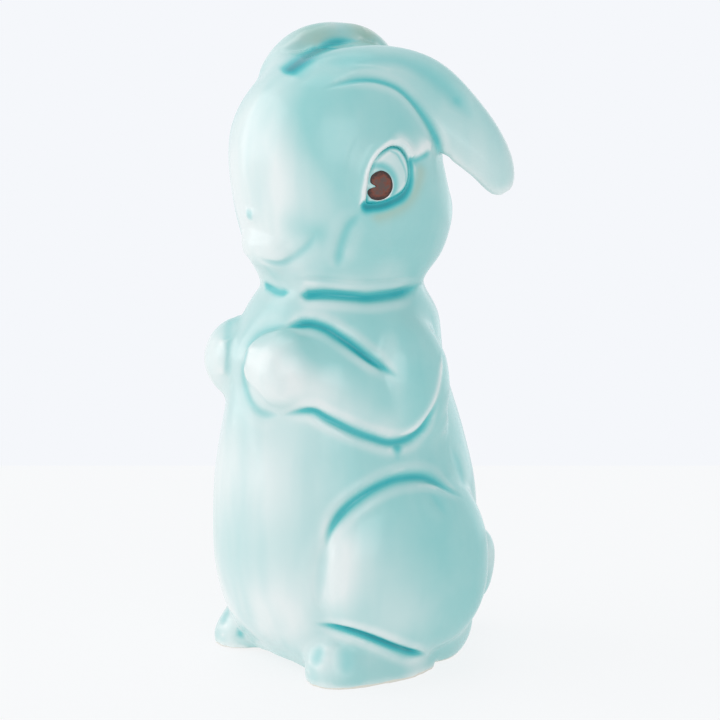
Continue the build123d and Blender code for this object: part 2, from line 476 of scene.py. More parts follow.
@dataclass(frozen=True)
class Swell:
    """A broad rise of the clay, or with a negative height a hollow, at one of the photo's pixels.

    With a piece named, the place is that piece's nearest to the pixel, and the swell is the piece's
    alone unless the way is given too.
    """

    name: str
    pixel: tuple[float, float]
    height: float
    reach: float
    mirrored: bool = True
    piece: str = ""
    way: tuple[float, float, float] | None = None


SWELLS = (
    Swell("upper edge of the left ear", (440, 64), 0.7 * MM, 9 * MM, mirrored=False),
    Swell("front of the right ear's arch", (297, 30), 0.5 * MM, 9 * MM, mirrored=False),
    Swell("back of the right ear's arch", (376, 32), -1.2 * MM, 9 * MM, mirrored=False),
    Swell("root of the right ear", (286, 60), 0.9 * MM, 5 * MM, mirrored=False),
    Swell("front root of the right ear", (252, 80), -1.0 * MM, 9 * MM, mirrored=False),
    Swell("head below the ear", (457, 158), -3.8 * MM, 7.5 * MM, piece="head"),
    Swell("corner under the ear", (444, 157), -1.2 * MM, 3 * MM, piece="head"),
    Swell("lower edge of the left ear", (471, 183), -1.5 * MM, 7 * MM, mirrored=False),
    Swell("front of the neck", (262, 287), 0.5 * MM, 6 * MM),
    Swell("breast between the paws", (246, 352), 1.4 * MM, 7 * MM),
    Swell("back of the neck", (429, 277), -0.9 * MM, 6 * MM),
    Swell("front of the foot", (309, 664), 0.9 * MM, 5 * MM),
    Swell("behind the foot", (448, 655), 1.4 * MM, 7 * MM),
    Swell("heel", (435, 667), 1.9 * MM, 6 * MM, way=(-1, 0.3, 0)),
    Swell("back edge of the base", (463, 652), -0.3 * MM, 8 * MM, piece="torso"),
    Swell("far foot", (219, 632), 1.2 * MM, 5 * MM, mirrored=False),
    Swell("haunch before the tail", (490, 548), -3.0 * MM, 8 * MM),
    Swell(
        "back of the tail", (494, 558), 1.0 * MM, 8 * MM, mirrored=False, piece="tail",
        way=(0, 1, 0),
    ),
    Swell("tail", (492, 556), 5.0 * MM, 10 * MM, mirrored=False, piece="tail", way=(0, 0.15, 1)),
    Swell(
        "under the tail", (490, 585), -2.0 * MM, 6 * MM, mirrored=False, piece="tail",
        way=(0, 0, 1),
    ),
    Swell("breast under the arm", (219, 408), -1.3 * MM, 8 * MM),
    Swell("front edge of the base", (280, 665), -2.7 * MM, 8 * MM),
    Swell("lower back of the haunch", (470, 634), 1.2 * MM, 7 * MM),
    Swell("back of the cheek", (448, 232), 0.9 * MM, 12 * MM),
    Swell("back of the haunch", (482, 612), 1.2 * MM, 12 * MM),
)


@dataclass(frozen=True)
class Blend:
    """A ball about one of the photo's pixels in which the pieces' joints melt into each other."""

    name: str
    pixel: tuple[float, float]
    reach: float
    mirrored: bool = True


BLENDS = (
    Blend("front root of the ears", (274, 68), 9 * MM),
    Blend("root of the ears", (292, 66), 7 * MM),
    Blend("gap between the ears", (307, 57), 7 * MM, mirrored=False),
    Blend("gap behind it", (325, 46), 7 * MM, mirrored=False),
    Blend("back of the gap", (350, 42), 7 * MM, mirrored=False),
    Blend("shoulder", (428, 330), 11 * MM),
    Blend("back of the shoulder", (434, 336), 6 * MM),
    Blend("back of the elbow", (441, 372), 8 * MM),
    Blend("back of the haunch", (474, 520), 9 * MM),
    Blend("foot against the haunch", (425, 650), 5 * MM),
    Blend("back end of the foot", (439, 661), 9 * MM),
    Blend("haunch over the base", (457, 640), 8 * MM),
    Blend("back of the paw", (295, 366), 6 * MM),
    Blend("lower back of the paw", (297, 386), 5 * MM),
    Blend("wrist", (317, 358), 7 * MM),
    Blend("lower wrist", (319, 385), 6 * MM),
    Blend("upper edge of the paw", (262, 340), 4 * MM),
    Blend("front edge of the paw", (250, 365), 5 * MM),
    Blend("lower edge of the paw", (256, 396), 4.5 * MM),
)


@dataclass(frozen=True)
class GlazeAndLightPatch:
    """A broad patch about one of the photo's pixels that is paler, for glaze run thinly and for
    painted highlights, or darker if less, for thick glaze and for painted shade.

    Where iron from the clay shows through, the glaze is tinted warm.
    """

    name: str
    pixel: tuple[float, float]
    thinning_and_light: float
    reach: float
    mirrored: bool = True
    iron: float = 0.0


# Most of these patches paint light: the paler ones on the forehead, nose, muzzle, paw, lower forearm,
# belly and front of the haunch are largely painted highlights, the darker ones on the temple, crown,
# shoulder and top of the forearm are painted shade, and the iron tints on the right ear are the
# glaze's own colour.
GLAZE_AND_LIGHT_PATCHES = (
    GlazeAndLightPatch("forehead", (243, 150), 0.35, 16 * MM),
    GlazeAndLightPatch("bridge of the nose", (258, 200), 0.45, 11 * MM),
    GlazeAndLightPatch("muzzle", (264, 240), 0.35, 6 * MM),
    GlazeAndLightPatch("beside the muzzle", (292, 224), -0.3, 4 * MM),
    GlazeAndLightPatch("corner of the mouth", (317, 233), -0.35, 3 * MM),
    GlazeAndLightPatch("chin", (300, 278), 0.35, 7 * MM),
    GlazeAndLightPatch("side of the chin", (388, 274), 0.4, 6 * MM),
    GlazeAndLightPatch("cheek", (408, 240), -0.2, 10 * MM),
    GlazeAndLightPatch("tip of the left ear", (492, 165), 0.5, 11 * MM, mirrored=False),
    GlazeAndLightPatch("flat of the left ear", (448, 125), 0.15, 9 * MM, mirrored=False),
    GlazeAndLightPatch("top of the left ear", (390, 68), 0.2, 9 * MM, mirrored=False),
    GlazeAndLightPatch("front of the right ear", (280, 58), 0.2, 7 * MM, mirrored=False),
    GlazeAndLightPatch("brow", (422, 145), 0.25, 2.2 * MM),
    GlazeAndLightPatch("lid above the eye", (396, 140), 0.4, 2.0 * MM),
    GlazeAndLightPatch("paw", (262, 374), 0.75, 8 * MM),
    GlazeAndLightPatch("wrist", (292, 384), 0.5, 6 * MM),
    GlazeAndLightPatch("top of the forearm", (322, 350), -0.35, 5 * MM),
    GlazeAndLightPatch("lower wrist", (320, 393), 0.5, 6 * MM),
    GlazeAndLightPatch("lower edge of the forearm", (352, 416), 0.5, 5 * MM),
    GlazeAndLightPatch("elbow", (385, 430), 0.5, 4 * MM),
    GlazeAndLightPatch("roll over the chin crease", (350, 285), 0.3, 4 * MM),
    GlazeAndLightPatch("temple", (345, 142), -0.7, 10 * MM),
    GlazeAndLightPatch("crown", (300, 108), -0.35, 9 * MM),
    GlazeAndLightPatch("left of the forehead", (238, 150), -0.3, 6 * MM, mirrored=False),
    GlazeAndLightPatch("shoulder", (430, 330), -1.1, 6 * MM),
    GlazeAndLightPatch("collar", (325, 308), 0.3, 4 * MM),
    GlazeAndLightPatch("face of the right ear", (318, 38), 0.1, 6 * MM, mirrored=False, iron=0.5),
    GlazeAndLightPatch("back of the right ear", (365, 32), 0.1, 6 * MM, mirrored=False, iron=0.6),
    GlazeAndLightPatch("belly", (258, 480), 0.45, 14 * MM),
    GlazeAndLightPatch("lower belly", (278, 618), 0.7, 13 * MM),
    GlazeAndLightPatch("front roll of the haunch", (339, 550), 0.6, 6 * MM),
    GlazeAndLightPatch("lower front roll of the haunch", (335, 586), 0.6, 6 * MM),
    GlazeAndLightPatch("haunch", (385, 570), 0.25, 9 * MM),
    GlazeAndLightPatch("foot of the haunch", (400, 620), 0.45, 9 * MM),
    GlazeAndLightPatch("edge of the foot", (418, 664), 0.5, 5 * MM),
    GlazeAndLightPatch("toe", (325, 657), 0.3, 4 * MM),
    GlazeAndLightPatch("tail", (490, 555), 0.55, 6 * MM, mirrored=False),
)

# The eye's opening: each pixel, how high the lid stands over it and how full of glaze its edge is,
# which also sets the shade painted along it.
OPENING = (
    (366.0, 203, 0.30, 1.0), (366.4, 193, 0.75, 0.3), (367.6, 183, 0.80, 0.1),
    (369.6, 171.5, 0.85, 0.1), (374.4, 160, 0.90, 0.25), (381.5, 151.3, 0.95, 0.55),
    (391, 145.8, 1.00, 0.8), (400, 147.4, 0.95, 0.9), (406.4, 155.2, 0.60, 0.85),
    (409.2, 163.5, 0.20, 0.7), (410, 172, 0.08, 0.6), (409.3, 180.5, 0.04, 0.75),
    (406.5, 188, 0.04, 0.9), (401.5, 194, 0.04, 1.0), (393.5, 198.6, 0.04, 1.0),
    (384.5, 202.3, 0.05, 1.0), (375, 204, 0.05, 1.0),
)
PUPIL = (
    (381, 170.3), (386.5, 172.8), (390.2, 178), (391.7, 184.4), (391, 190), (387.5, 195.6),
    (382, 199.3), (376, 200.2), (370.5, 198.4), (367.8, 194.5), (367.6, 190.8), (369.6, 188.3),
    (374.6, 186.2), (370.6, 183.6), (369.6, 180.5), (370.6, 176), (373.3, 172.8), (377, 170.9),
)
IRIS_RING = (
    (367, 171.5), (370.5, 167.5), (375, 165.6), (381, 165.8), (387.3, 169), (391.8, 174.5),
    (394, 180.8), (394, 188), (391.8, 194.5),
)
INNER_LID = ((390, 150.5), (396.5, 154), (401, 161.4), (404.3, 168.6), (405.8, 174.5), (405.6, 181))


@dataclass(frozen=True)
class CeladonGlaze:
    """Pale blue-green glaze: near white where it ran thinly, deep turquoise where it pooled, with
    painted highlights laid on in the pale colour and painted shade in the dark ones.
    """

    name: str = "celadon_glaze"
    body: Colour = linear(151, 212, 210)
    # The pale colour paints thinly run glaze and painted highlights alike.
    thin_glaze_and_highlight: Colour = linear(240, 245, 243)
    # The darker colours paint pooled glaze and, in creases and hollows, painted shade; the darkest
    # one stands in for the shade at the bottom of the strongest creases.
    pooled: Colour = linear(103, 200, 200)
    deep: Colour = linear(26, 176, 183)
    darkest_pool_and_shade: Colour = linear(2, 148, 158)
    warm: Colour = linear(174, 193, 170)
    bisque: Colour = linear(238, 230, 216)
    roughness: float = 0.2

    def make(self) -> bpy.types.Material:
        """Builds the glaze as shader nodes.

        Returns:
            The material.
        """
        material = bpy.data.materials.new(self.name)
        material.use_nodes = True
        tree = material.node_tree
        shader = tree.nodes["Principled BSDF"]
        place = tree.nodes.new("ShaderNodeTexCoord").outputs["Object"]

        def attribute(name: str) -> bpy.types.NodeSocket:
            """Reads a piece's own attribute of that name."""
            node = tree.nodes.new("ShaderNodeAttribute")
            node.attribute_name = name
            return node.outputs["Fac"]

        def noise(scale: float, detail: float, rough: float = 0.5) -> bpy.types.NodeSocket:
            """Adds a noise of that scale over the piece."""
            node = tree.nodes.new("ShaderNodeTexNoise")
            node.inputs["Scale"].default_value = scale
            node.inputs["Detail"].default_value = detail
            node.inputs["Roughness"].default_value = rough
            tree.links.new(place, node.inputs["Vector"])
            return node.outputs["Fac"]

        def span(
            value: bpy.types.NodeSocket, low: float, high: float, start: float, end: float
        ) -> bpy.types.NodeSocket:
            """Carries a value from one span to another, and no further."""
            node = tree.nodes.new("ShaderNodeMapRange")
            for socket, number in zip(node.inputs[1:5], (low, high, start, end)):
                socket.default_value = number
            tree.links.new(value, node.inputs["Value"])
            return node.outputs["Result"]

        def math_of(
            kind: str, first: bpy.types.NodeSocket, second: bpy.types.NodeSocket | float
        ) -> bpy.types.NodeSocket:
            """Joins two values by a sum or product."""
            node = tree.nodes.new("ShaderNodeMath")
            node.operation = kind
            tree.links.new(first, node.inputs[0])
            if isinstance(second, float):
                node.inputs[1].default_value = second
            else:
                tree.links.new(second, node.inputs[1])
            return node.outputs[0]

        def mixed(
            share: bpy.types.NodeSocket, base: bpy.types.NodeSocket | Colour, other: Colour
        ) -> bpy.types.NodeSocket:
            """Lays a colour over another by that share."""
            node = tree.nodes.new("ShaderNodeMix")
            node.data_type = "RGBA"
            tree.links.new(share, node.inputs["Factor"])
            if isinstance(base, tuple):
                node.inputs["A"].default_value = (*base, 1)
            else:
                tree.links.new(base, node.inputs["A"])
            node.inputs["B"].default_value = (*other, 1)
            return node.outputs["Result"]

        # The first attribute holds pooled glaze with painted shade, the second thinly run glaze with
        # painted highlights.
        pool, edge = attribute("pool"), attribute("thin_glaze_and_highlight")
        clouds = span(noise(45, 3), 0.3, 0.7, 0.0, 1.0)
        streaks = span(noise(160, 4, 0.6), 0.35, 0.75, 0.0, 1.0)
        colour = mixed(span(clouds, 0, 1, 0.0, 0.16), self.body, self.thin_glaze_and_highlight)
        colour = mixed(span(streaks, 0, 1, 0.0, 0.10), colour, self.pooled)
        colour = mixed(math_of("MULTIPLY", edge, 0.93), colour, self.thin_glaze_and_highlight)
        colour = mixed(attribute("iron"), colour, self.warm)
        colour = mixed(span(pool, 0.05, 0.55, 0.0, 1.0), colour, self.pooled)
        colour = mixed(span(pool, 0.50, 1.0, 0.0, 1.0), colour, self.deep)
        # Painted shade: the darkest step, at the bottom of the strongest creases.
        colour = mixed(span(pool, 1.0, 1.4, 0.0, 1.0), colour, self.darkest_pool_and_shade)

        drop = tree.nodes.new("ShaderNodeMapping")
        drop.inputs["Scale"].default_value = (1, 1, 0.2)
        tree.links.new(place, drop.inputs["Vector"])
        runs = tree.nodes.new("ShaderNodeTexNoise")
        runs.inputs["Scale"].default_value = 110
        runs.inputs["Detail"].default_value = 2
        tree.links.new(drop.outputs["Vector"], runs.inputs["Vector"])
        colour = mixed(span(runs.outputs["Fac"], 0.45, 0.75, 0.0, 0.22), colour, self.pooled)

        specks = tree.nodes.new("ShaderNodeTexVoronoi")
        specks.inputs["Scale"].default_value = 90
        tree.links.new(place, specks.inputs["Vector"])
        colour = mixed(span(specks.outputs["Distance"], 0.018, 0.030, 0.35, 0.0), colour, self.deep)

        level = tree.nodes.new("ShaderNodeSeparateXYZ")
        tree.links.new(place, level.inputs[0])
        ripple = math_of("MULTIPLY", noise(180, 2), 0.0012)
        height = math_of("SUBTRACT", level.outputs["Z"], ripple)
        bare = span(height, 0.0000, 0.0002, 0.8, 0.0)
        colour = mixed(bare, colour, self.bisque)
        tree.links.new(colour, shader.inputs["Base Color"])

        gloss = span(noise(60, 2), 0.3, 0.7, self.roughness - 0.02, self.roughness + 0.03)
        dull = tree.nodes.new("ShaderNodeMix")
        tree.links.new(bare, dull.inputs["Factor"])
        tree.links.new(gloss, dull.inputs["A"])
        dull.inputs["B"].default_value = 0.75
        tree.links.new(dull.outputs["Result"], shader.inputs["Roughness"])

        bump = tree.nodes.new("ShaderNodeBump")
        bump.inputs["Strength"].default_value = 0.35
        bump.inputs["Distance"].default_value = 0.25 * MM
        tree.links.new(noise(130, 2), bump.inputs["Height"])
        tree.links.new(bump.outputs["Normal"], shader.inputs["Normal"])
        shader.inputs["IOR"].default_value = 1.52
        return material


@dataclass(frozen=True)
class PupilEnamel:
    """Brown overglaze enamel, brushed on thickly: grey-brown, reddish and dark towards its edge."""

    name: str = "pupil_enamel"
    brown: Colour = linear(94, 73, 67)
    red: Colour = linear(122, 62, 44)
    dark: Colour = linear(54, 34, 30)
    roughness: float = 0.22

    def make(self) -> bpy.types.Material:
        """Builds the enamel as shader nodes.

        Returns:
            The material.
        """
        material = bpy.data.materials.new(self.name)
        material.use_nodes = True
        tree = material.node_tree
        shader = tree.nodes["Principled BSDF"]
        place = tree.nodes.new("ShaderNodeTexCoord").outputs["Object"]
        strokes = tree.nodes.new("ShaderNodeTexNoise")
        strokes.inputs["Scale"].default_value = 900
        strokes.inputs["Detail"].default_value = 4
        tree.links.new(place, strokes.inputs["Vector"])
        edge = tree.nodes.new("ShaderNodeAttribute")
        edge.attribute_name = "edge"
        uneven = tree.nodes.new("ShaderNodeMath")
        uneven.operation = "MULTIPLY_ADD"
        tree.links.new(strokes.outputs["Fac"], uneven.inputs[0])
        uneven.inputs[1].default_value = 0.9
        tree.links.new(edge.outputs["Fac"], uneven.inputs[2])
        ramp = tree.nodes.new("ShaderNodeValToRGB")
        ramp.color_ramp.elements[0].position = 0.50
        ramp.color_ramp.elements[0].color = (*self.brown, 1)
        ramp.color_ramp.elements[1].position = 1.0
        ramp.color_ramp.elements[1].color = (*self.dark, 1)
        middle = ramp.color_ramp.elements.new(0.72)
        middle.color = (*self.red, 1)
        tree.links.new(uneven.outputs[0], ramp.inputs["Fac"])
        tree.links.new(ramp.outputs["Color"], shader.inputs["Base Color"])
        bump = tree.nodes.new("ShaderNodeBump")
        bump.inputs["Strength"].default_value = 0.4
        bump.inputs["Distance"].default_value = 0.08 * MM
        tree.links.new(strokes.outputs["Fac"], bump.inputs["Height"])
        tree.links.new(bump.outputs["Normal"], shader.inputs["Normal"])
        shader.inputs["Roughness"].default_value = self.roughness
        return material


class Skin:
    """A mesh read into arrays, for the sculptor's moves that no operator makes."""

    def __init__(self, piece: bpy.types.Object) -> None:
        """Reads a piece's points, edges and normals.

        Args:
            piece: The piece to work on.
        """
        self.piece = piece
        mesh = piece.data
        self.count = len(mesh.vertices)
        self.points = self.read("co")
        pairs = np.empty(len(mesh.edges) * 2, np.int32)
        mesh.edges.foreach_get("vertices", pairs)
        self.first, self.second = pairs[0::2], pairs[1::2]
        self.valence = np.bincount(pairs, minlength=self.count).astype(float)

    def read(self, name: str) -> np.ndarray:
        """Reads the vertices' places or normals as rows of three.

        Args:
            name: "co" or "normal".

        Returns:
            One row for each vertex.
        """
        values = np.empty(self.count * 3, np.float32)
        self.piece.data.vertices.foreach_get(name, values)
        return values.reshape(-1, 3).astype(float)

    def write(self) -> None:
        """Puts the points back into the mesh."""
        self.piece.data.vertices.foreach_set("co", self.points.astype(np.float32).ravel())
        self.piece.data.update()

    def around(self, values: np.ndarray) -> np.ndarray:
        """Averages each vertex's neighbours.

        Args:
            values: One value or row for each vertex.

        Returns:
            The averages, in the same form.
        """
        columns = values.reshape(self.count, -1)
        total = np.empty_like(columns, dtype=float)
        for k in range(columns.shape[1]):
            column = columns[:, k]
            total[:, k] = np.bincount(self.first, column[self.second], self.count)
            total[:, k] += np.bincount(self.second, column[self.first], self.count)
        return (total / self.valence[:, None]).reshape(values.shape)

    def blur(self, values: np.ndarray, rounds: int) -> np.ndarray:
        """Evens values out over the skin.

        Args:
            values: One value or row for each vertex.
            rounds: How many times each is drawn halfway to its neighbours' average.

        Returns:
            The evened values.
        """
        for _ in range(rounds):
            values = 0.5 * values + 0.5 * self.around(values)
        return values

    def normals(self, rounds: int = 0) -> np.ndarray:
        """Reads the vertex normals, evened out over the skin.

        Args:
            rounds: How far they are evened out.

        Returns:
            One unit row for each vertex.
        """
        rows = self.blur(self.read("normal"), rounds)
        return rows / np.maximum(np.linalg.norm(rows, axis=1), 1e-9)[:, None]

    def bend(self) -> np.ndarray:
        """Measures how the skin bends, positive over a ridge and negative in a hollow.

        Returns:
            One over the radius at each vertex, in millimetres.
        """
        normals = self.normals()
        step = self.points[self.second] - self.points[self.first]
        turn = normals[self.second] - normals[self.first]
        rate = (step * turn).sum(1) / np.maximum((step * step).sum(1), 1e-14)
        total = np.bincount(self.first, rate, self.count)
        total += np.bincount(self.second, rate, self.count)
        return total / self.valence * MM

    def store(self, name: str, values: np.ndarray) -> None:
        """Keeps a value for each vertex as an attribute of the mesh.

        Args:
            name: The attribute's name.
            values: One value, or one row of three, for each vertex.
        """
        kind, field = ("FLOAT", "value") if values.ndim == 1 else ("FLOAT_VECTOR", "vector")
        kept = self.piece.data.attributes.new(name, kind, "POINT")
        kept.data.foreach_set(field, values.astype(np.float32).ravel())


@dataclass(frozen=True)
class CastLine:
    """A crease's line on the skin: its points in space and how deep it is at each."""

    crease: Crease
    places: np.ndarray
    strength: np.ndarray

    def near(self, points: np.ndarray, reach: float) -> tuple[np.ndarray, np.ndarray, np.ndarray]:
        """Finds the points within reach of the line.

        Args:
            points: Points in space, as rows.
            reach: The distance.

        Returns:
            The near points' numbers, their distances, and the line's nearest point to each.
        """
        low, high = self.places.min(0) - reach, self.places.max(0) + reach
        boxed = np.flatnonzero(((points > low) & (points < high)).all(1))
        numbers, gaps, spots = [], [], []
        for start in range(0, len(boxed), 8192):
            part = boxed[start : start + 8192]
            away = nearness(points[part], self.places)
            spot = away.argmin(1)
            gap = away[np.arange(len(part)), spot]
            kept = gap < reach
            numbers.append(part[kept])
            gaps.append(gap[kept])
            spots.append(spot[kept])
        return np.concatenate(numbers), np.concatenate(gaps), np.concatenate(spots)


def nearness(points: np.ndarray, places: np.ndarray) -> np.ndarray:
    """Measures the distance from every point to every place.

    Args:
        points: Points, as rows.
        places: Places, as rows.

    Returns:
        One row of distances for each point.
    """
    square = (points**2).sum(1)[:, None] + (places**2).sum(1)[None] - 2 * points @ places.T
    return np.sqrt(np.maximum(square, 0))


@dataclass(frozen=True)
class EyeTrace:
    """The eye's lines as the photograph has them, traced onto the head's plain surface.

    Places are measured back and up from the middle of the eye. The opening's rows also hold the lid's
    height in millimetres and how full of glaze its edge is, which also sets the shade painted along
    it.
    """

    shape: np.ndarray
    opening: np.ndarray
    pupil: np.ndarray
    iris_ring: np.ndarray
    inner_lid: np.ndarray

    @staticmethod
    def terms(back: np.ndarray, up: np.ndarray) -> np.ndarray:
        """Gives the terms of a surface of the second degree, in millimetres.

        Args:
            back: The places towards the back of the head.
            up: The places upwards.

        Returns:
            Six terms for each place.
        """
        u, v = back / MM, up / MM
        return np.column_stack([np.ones_like(u), u, v, u * u, u * v, v * v])

    def plain(self, back: np.ndarray, up: np.ndarray) -> np.ndarray:
        """Finds how far out the head's plain surface is."""
        return self.terms(back, up) @ self.shape * MM

    def edge(self, back: np.ndarray, up: np.ndarray) -> tuple[np.ndarray, np.ndarray, np.ndarray]:
        """Measures places against the eye's opening.

        Args:
            back: The places towards the back of the head.
            up: The places upwards.

        Returns:
            Their distances into the opening, and the lid's height and the glaze, with painted shade,
            at the edge.
        """
        places = np.column_stack([back, up])
        away = nearness(places, self.opening[:, :2])
        nearest = away.argmin(1)
        gap = away[np.arange(len(places)), nearest]
        start = self.opening[:, :2]
        end = np.roll(start, -1, axis=0)
        crossed = np.zeros(len(places), int)
        for (x0, y0), (x1, y1) in zip(start, end):
            if y0 == y1:
                continue
            meets = (up >= min(y0, y1)) & (up < max(y0, y1))
            crossed += meets & (back < x0 + (up - y0) * (x1 - x0) / (y1 - y0))
        inside = crossed % 2 == 1
        lid, wet = self.opening[nearest, 2] * MM, self.opening[nearest, 3]
        return np.where(inside, gap, -gap), lid, wet

    def reach(self, outline: np.ndarray, turn: np.ndarray) -> tuple[np.ndarray, np.ndarray]:
        """Finds an outline's middle, and its distance from there each way.

        Args:
            outline: The outline's places.
            turn: The ways, as angles from the back of the head.

        Returns:
            The middle and the distances.
        """
        middle = outline[:, :2].mean(0)
        rows = outline[:, :2] - middle
        turns = np.arctan2(rows[:, 1], rows[:, 0])
        order = np.argsort(turns)
        lengths = np.linalg.norm(rows, axis=1)
        return middle, np.interp(turn, turns[order], lengths[order], period=2 * math.pi)


@dataclass
class Casting:
    """The rabbit's outside in one skin, from the CAD pieces that it is luted together from."""

    view: PhotoView
    nodes: tuple[str, ...] = (
        "torso", "head", "left_ear", "right_ear", "left_arm", "right_arm", "left_haunch",
        "right_haunch", "left_foot", "right_foot", "tail",
    )
    voxel: float = 0.55 * MM
    soften: int = 9
    seam_reach: float = 3.2 * MM
    seam_rounds: int = 30
    blend_rounds: int = 120
    neck_level: float = 94 * MM
    neck_reach: float = 8 * MM
    line_rounds: int = 16
    gap_radius: float = 2.6 * MM
    gap_sink: float = 2.8 * MM
    calm_reach: float = 2.6 * MM
    plug_radius: float = 7.6 * MM
    plug_height: float = 4.8 * MM
    plug_setback: float = 11 * MM
    eye_level: float = 123.5 * MM
    eye_reach: float = 25.2 * MM
    eye_turn: float = 76.0
    eye_zone: float = 12.0 * MM
    eye_half: tuple[float, float] = (5.7 * MM, 7.6 * MM)
    lid_share: float = 0.85

    def build(self) -> bpy.types.Object:
        """Makes the skin, carves it and stores its glaze.

        Returns:
            The skin, with its pieces' numbers and its glaze as attributes.
        """
        self.skin = self.gather()
        self.clay = self.tree_of(self.skin)
        self.owner = np.empty(len(self.skin.data.polygons), np.int32)
        self.skin.data.attributes["owner"].data.foreach_get("value", self.owner)
        self.fill_gap()
        apply_modifier(self.skin, "REMESH", mode="VOXEL", voxel_size=self.voxel)
        self.keep_outside()
        apply_modifier(self.skin, "SMOOTH", factor=0.5, iterations=self.soften)
        self.number_pieces()
        self.melt()
        self.swell()
        self.trace_eyes()
        lines = self.cast_lines()
        self.refine(lines)
        self.carve(lines)
        return self.skin

    def gather(self) -> bpy.types.Object:
        """Copies the CAD pieces into one object, with the pour hole plugged.

        Returns:
            The joined copy.
        """
        copies = []
        for name in self.nodes:
            copy = bpy.data.objects.new(f"{name}_copy", frame["nodes"][name].data.copy())
            bpy.context.scene.collection.objects.link(copy)
            copies.append(copy)
        deselect_everything()
        bpy.ops.mesh.primitive_cylinder_add(
            vertices=64,
            radius=self.plug_radius,
            depth=self.plug_height,
            location=(0, self.plug_setback, self.plug_height / 2),
        )
        plug = bpy.context.object
        for number, piece in [*enumerate(copies), (0, plug)]:
            owner = piece.data.attributes.new("owner", "INT", "FACE")
            owner.data.foreach_set("value", [number] * len(piece.data.polygons))
        deselect_everything()
        for copy in (*copies, plug):
            copy.select_set(True)
        bpy.context.view_layer.objects.active = copies[0]
        bpy.ops.object.join()
        return copies[0]

    def tree_of(self, piece: bpy.types.Object) -> BVHTree:
        """Prepares a piece's surface for finding points on it.

        Args:
            piece: The piece.

        Returns:
            Its tree of faces.
        """
        return BVHTree.FromObject(piece, bpy.context.evaluated_depsgraph_get())

    def fill_gap(self) -> None:
        """Presses clay into the gap between the ears, as deep as the photograph shows it."""
        balls = []
        for pixel in self.spline(EAR_GAP, step=4.0):
            near = self.touch(self.clay, (pixel[0], pixel[1] + 5))[0]
            far = self.touch(self.clay, (pixel[0], pixel[1] - 2))[0]
            steps = 1 + math.ceil(np.linalg.norm(far - near) / (2 * MM))
            for place in np.linspace(near, far, steps) - (0, 0, self.gap_sink):
                deselect_everything()
                bpy.ops.mesh.primitive_uv_sphere_add(
                    segments=24, ring_count=16, radius=self.gap_radius, location=tuple(place)
                )
                balls.append(bpy.context.object)
        log.info("clay between the ears: %d balls", len(balls))
        deselect_everything()
        for ball in balls:
            ball.select_set(True)
        self.skin.select_set(True)
        bpy.context.view_layer.objects.active = self.skin
        bpy.ops.object.join()

    def keep_outside(self) -> None:
        """Deletes all but the outermost shell."""
        points = Skin(self.skin).points
        make_active(self.skin)
        bpy.ops.object.mode_set(mode="EDIT")
        bpy.ops.mesh.select_mode(type="VERT")
        bpy.ops.mesh.select_all(action="DESELECT")
        bpy.ops.object.mode_set(mode="OBJECT")
        self.skin.data.vertices[int(points[:, 2].argmax())].select = True
        bpy.ops.object.mode_set(mode="EDIT")
        bpy.ops.mesh.select_linked()
        bpy.ops.mesh.select_all(action="INVERT")
        bpy.ops.mesh.delete(type="VERT")
        bpy.ops.object.mode_set(mode="OBJECT")

    def corners(self) -> tuple[np.ndarray, np.ndarray, np.ndarray]:
        """Reads the faces' corners.

        Returns:
            Each corner's vertex, edge and face.
        """
        mesh = self.skin.data
        vertices = np.empty(len(mesh.loops), np.int32)
        mesh.loops.foreach_get("vertex_index", vertices)
        edges = np.empty(len(mesh.loops), np.int32)
        mesh.loops.foreach_get("edge_index", edges)
        totals = np.empty(len(mesh.polygons), np.int32)
        mesh.polygons.foreach_get("loop_total", totals)
        return vertices, edges, np.repeat(np.arange(len(mesh.polygons)), totals)

    def number_pieces(self) -> None:
        """Gives each face the number of the CAD piece that it is nearest to."""
        mesh = self.skin.data
        middles = np.empty(len(mesh.polygons) * 3, np.float32)
        mesh.polygons.foreach_get("center", middles)
        numbers = np.array(
            [self.owner[self.clay.find_nearest(spot)[2]] for spot in middles.reshape(-1, 3)]
        )
        kept = mesh.attributes.new("piece", "INT", "FACE")
        kept.data.foreach_set("value", self.settle(numbers).astype(np.int32))

    def settle(self, numbers: np.ndarray) -> np.ndarray:
        """Clears strays and corner contacts from the faces' numbers.

        Args:
            numbers: One piece's number for each face.

        Returns:
            The cleared numbers.
        """
        mesh = self.skin.data
        vertices, edges, faces = self.corners()
        kinds = len(self.nodes)
        for _ in range(12):
            votes = np.bincount(
                vertices * kinds + numbers[faces], minlength=len(mesh.vertices) * kinds
            ).reshape(-1, kinds)
            heard = np.zeros((len(mesh.polygons), kinds))
            for kind in range(kinds):
                heard[:, kind] = np.bincount(faces, votes[vertices, kind], len(mesh.polygons))
            numbers = heard.argmax(1)
        ends = np.empty(len(mesh.edges) * 2, np.int32)
        mesh.edges.foreach_get("vertices", ends)
        ends = ends.reshape(-1, 2)
        for _ in range(20):
            low = np.full(len(mesh.edges), kinds)
            high = np.full(len(mesh.edges), -1)
            np.minimum.at(low, edges, numbers[faces])
            np.maximum.at(high, edges, numbers[faces])
            border = low != high
            met = np.bincount(ends[border].ravel(), minlength=len(mesh.vertices))
            crossing = met > 3
            if not crossing.any():
                break
            for vertex in np.flatnonzero(crossing):
                ring = faces[vertices == vertex]
                numbers[ring] = numbers[ring].min()
        return numbers

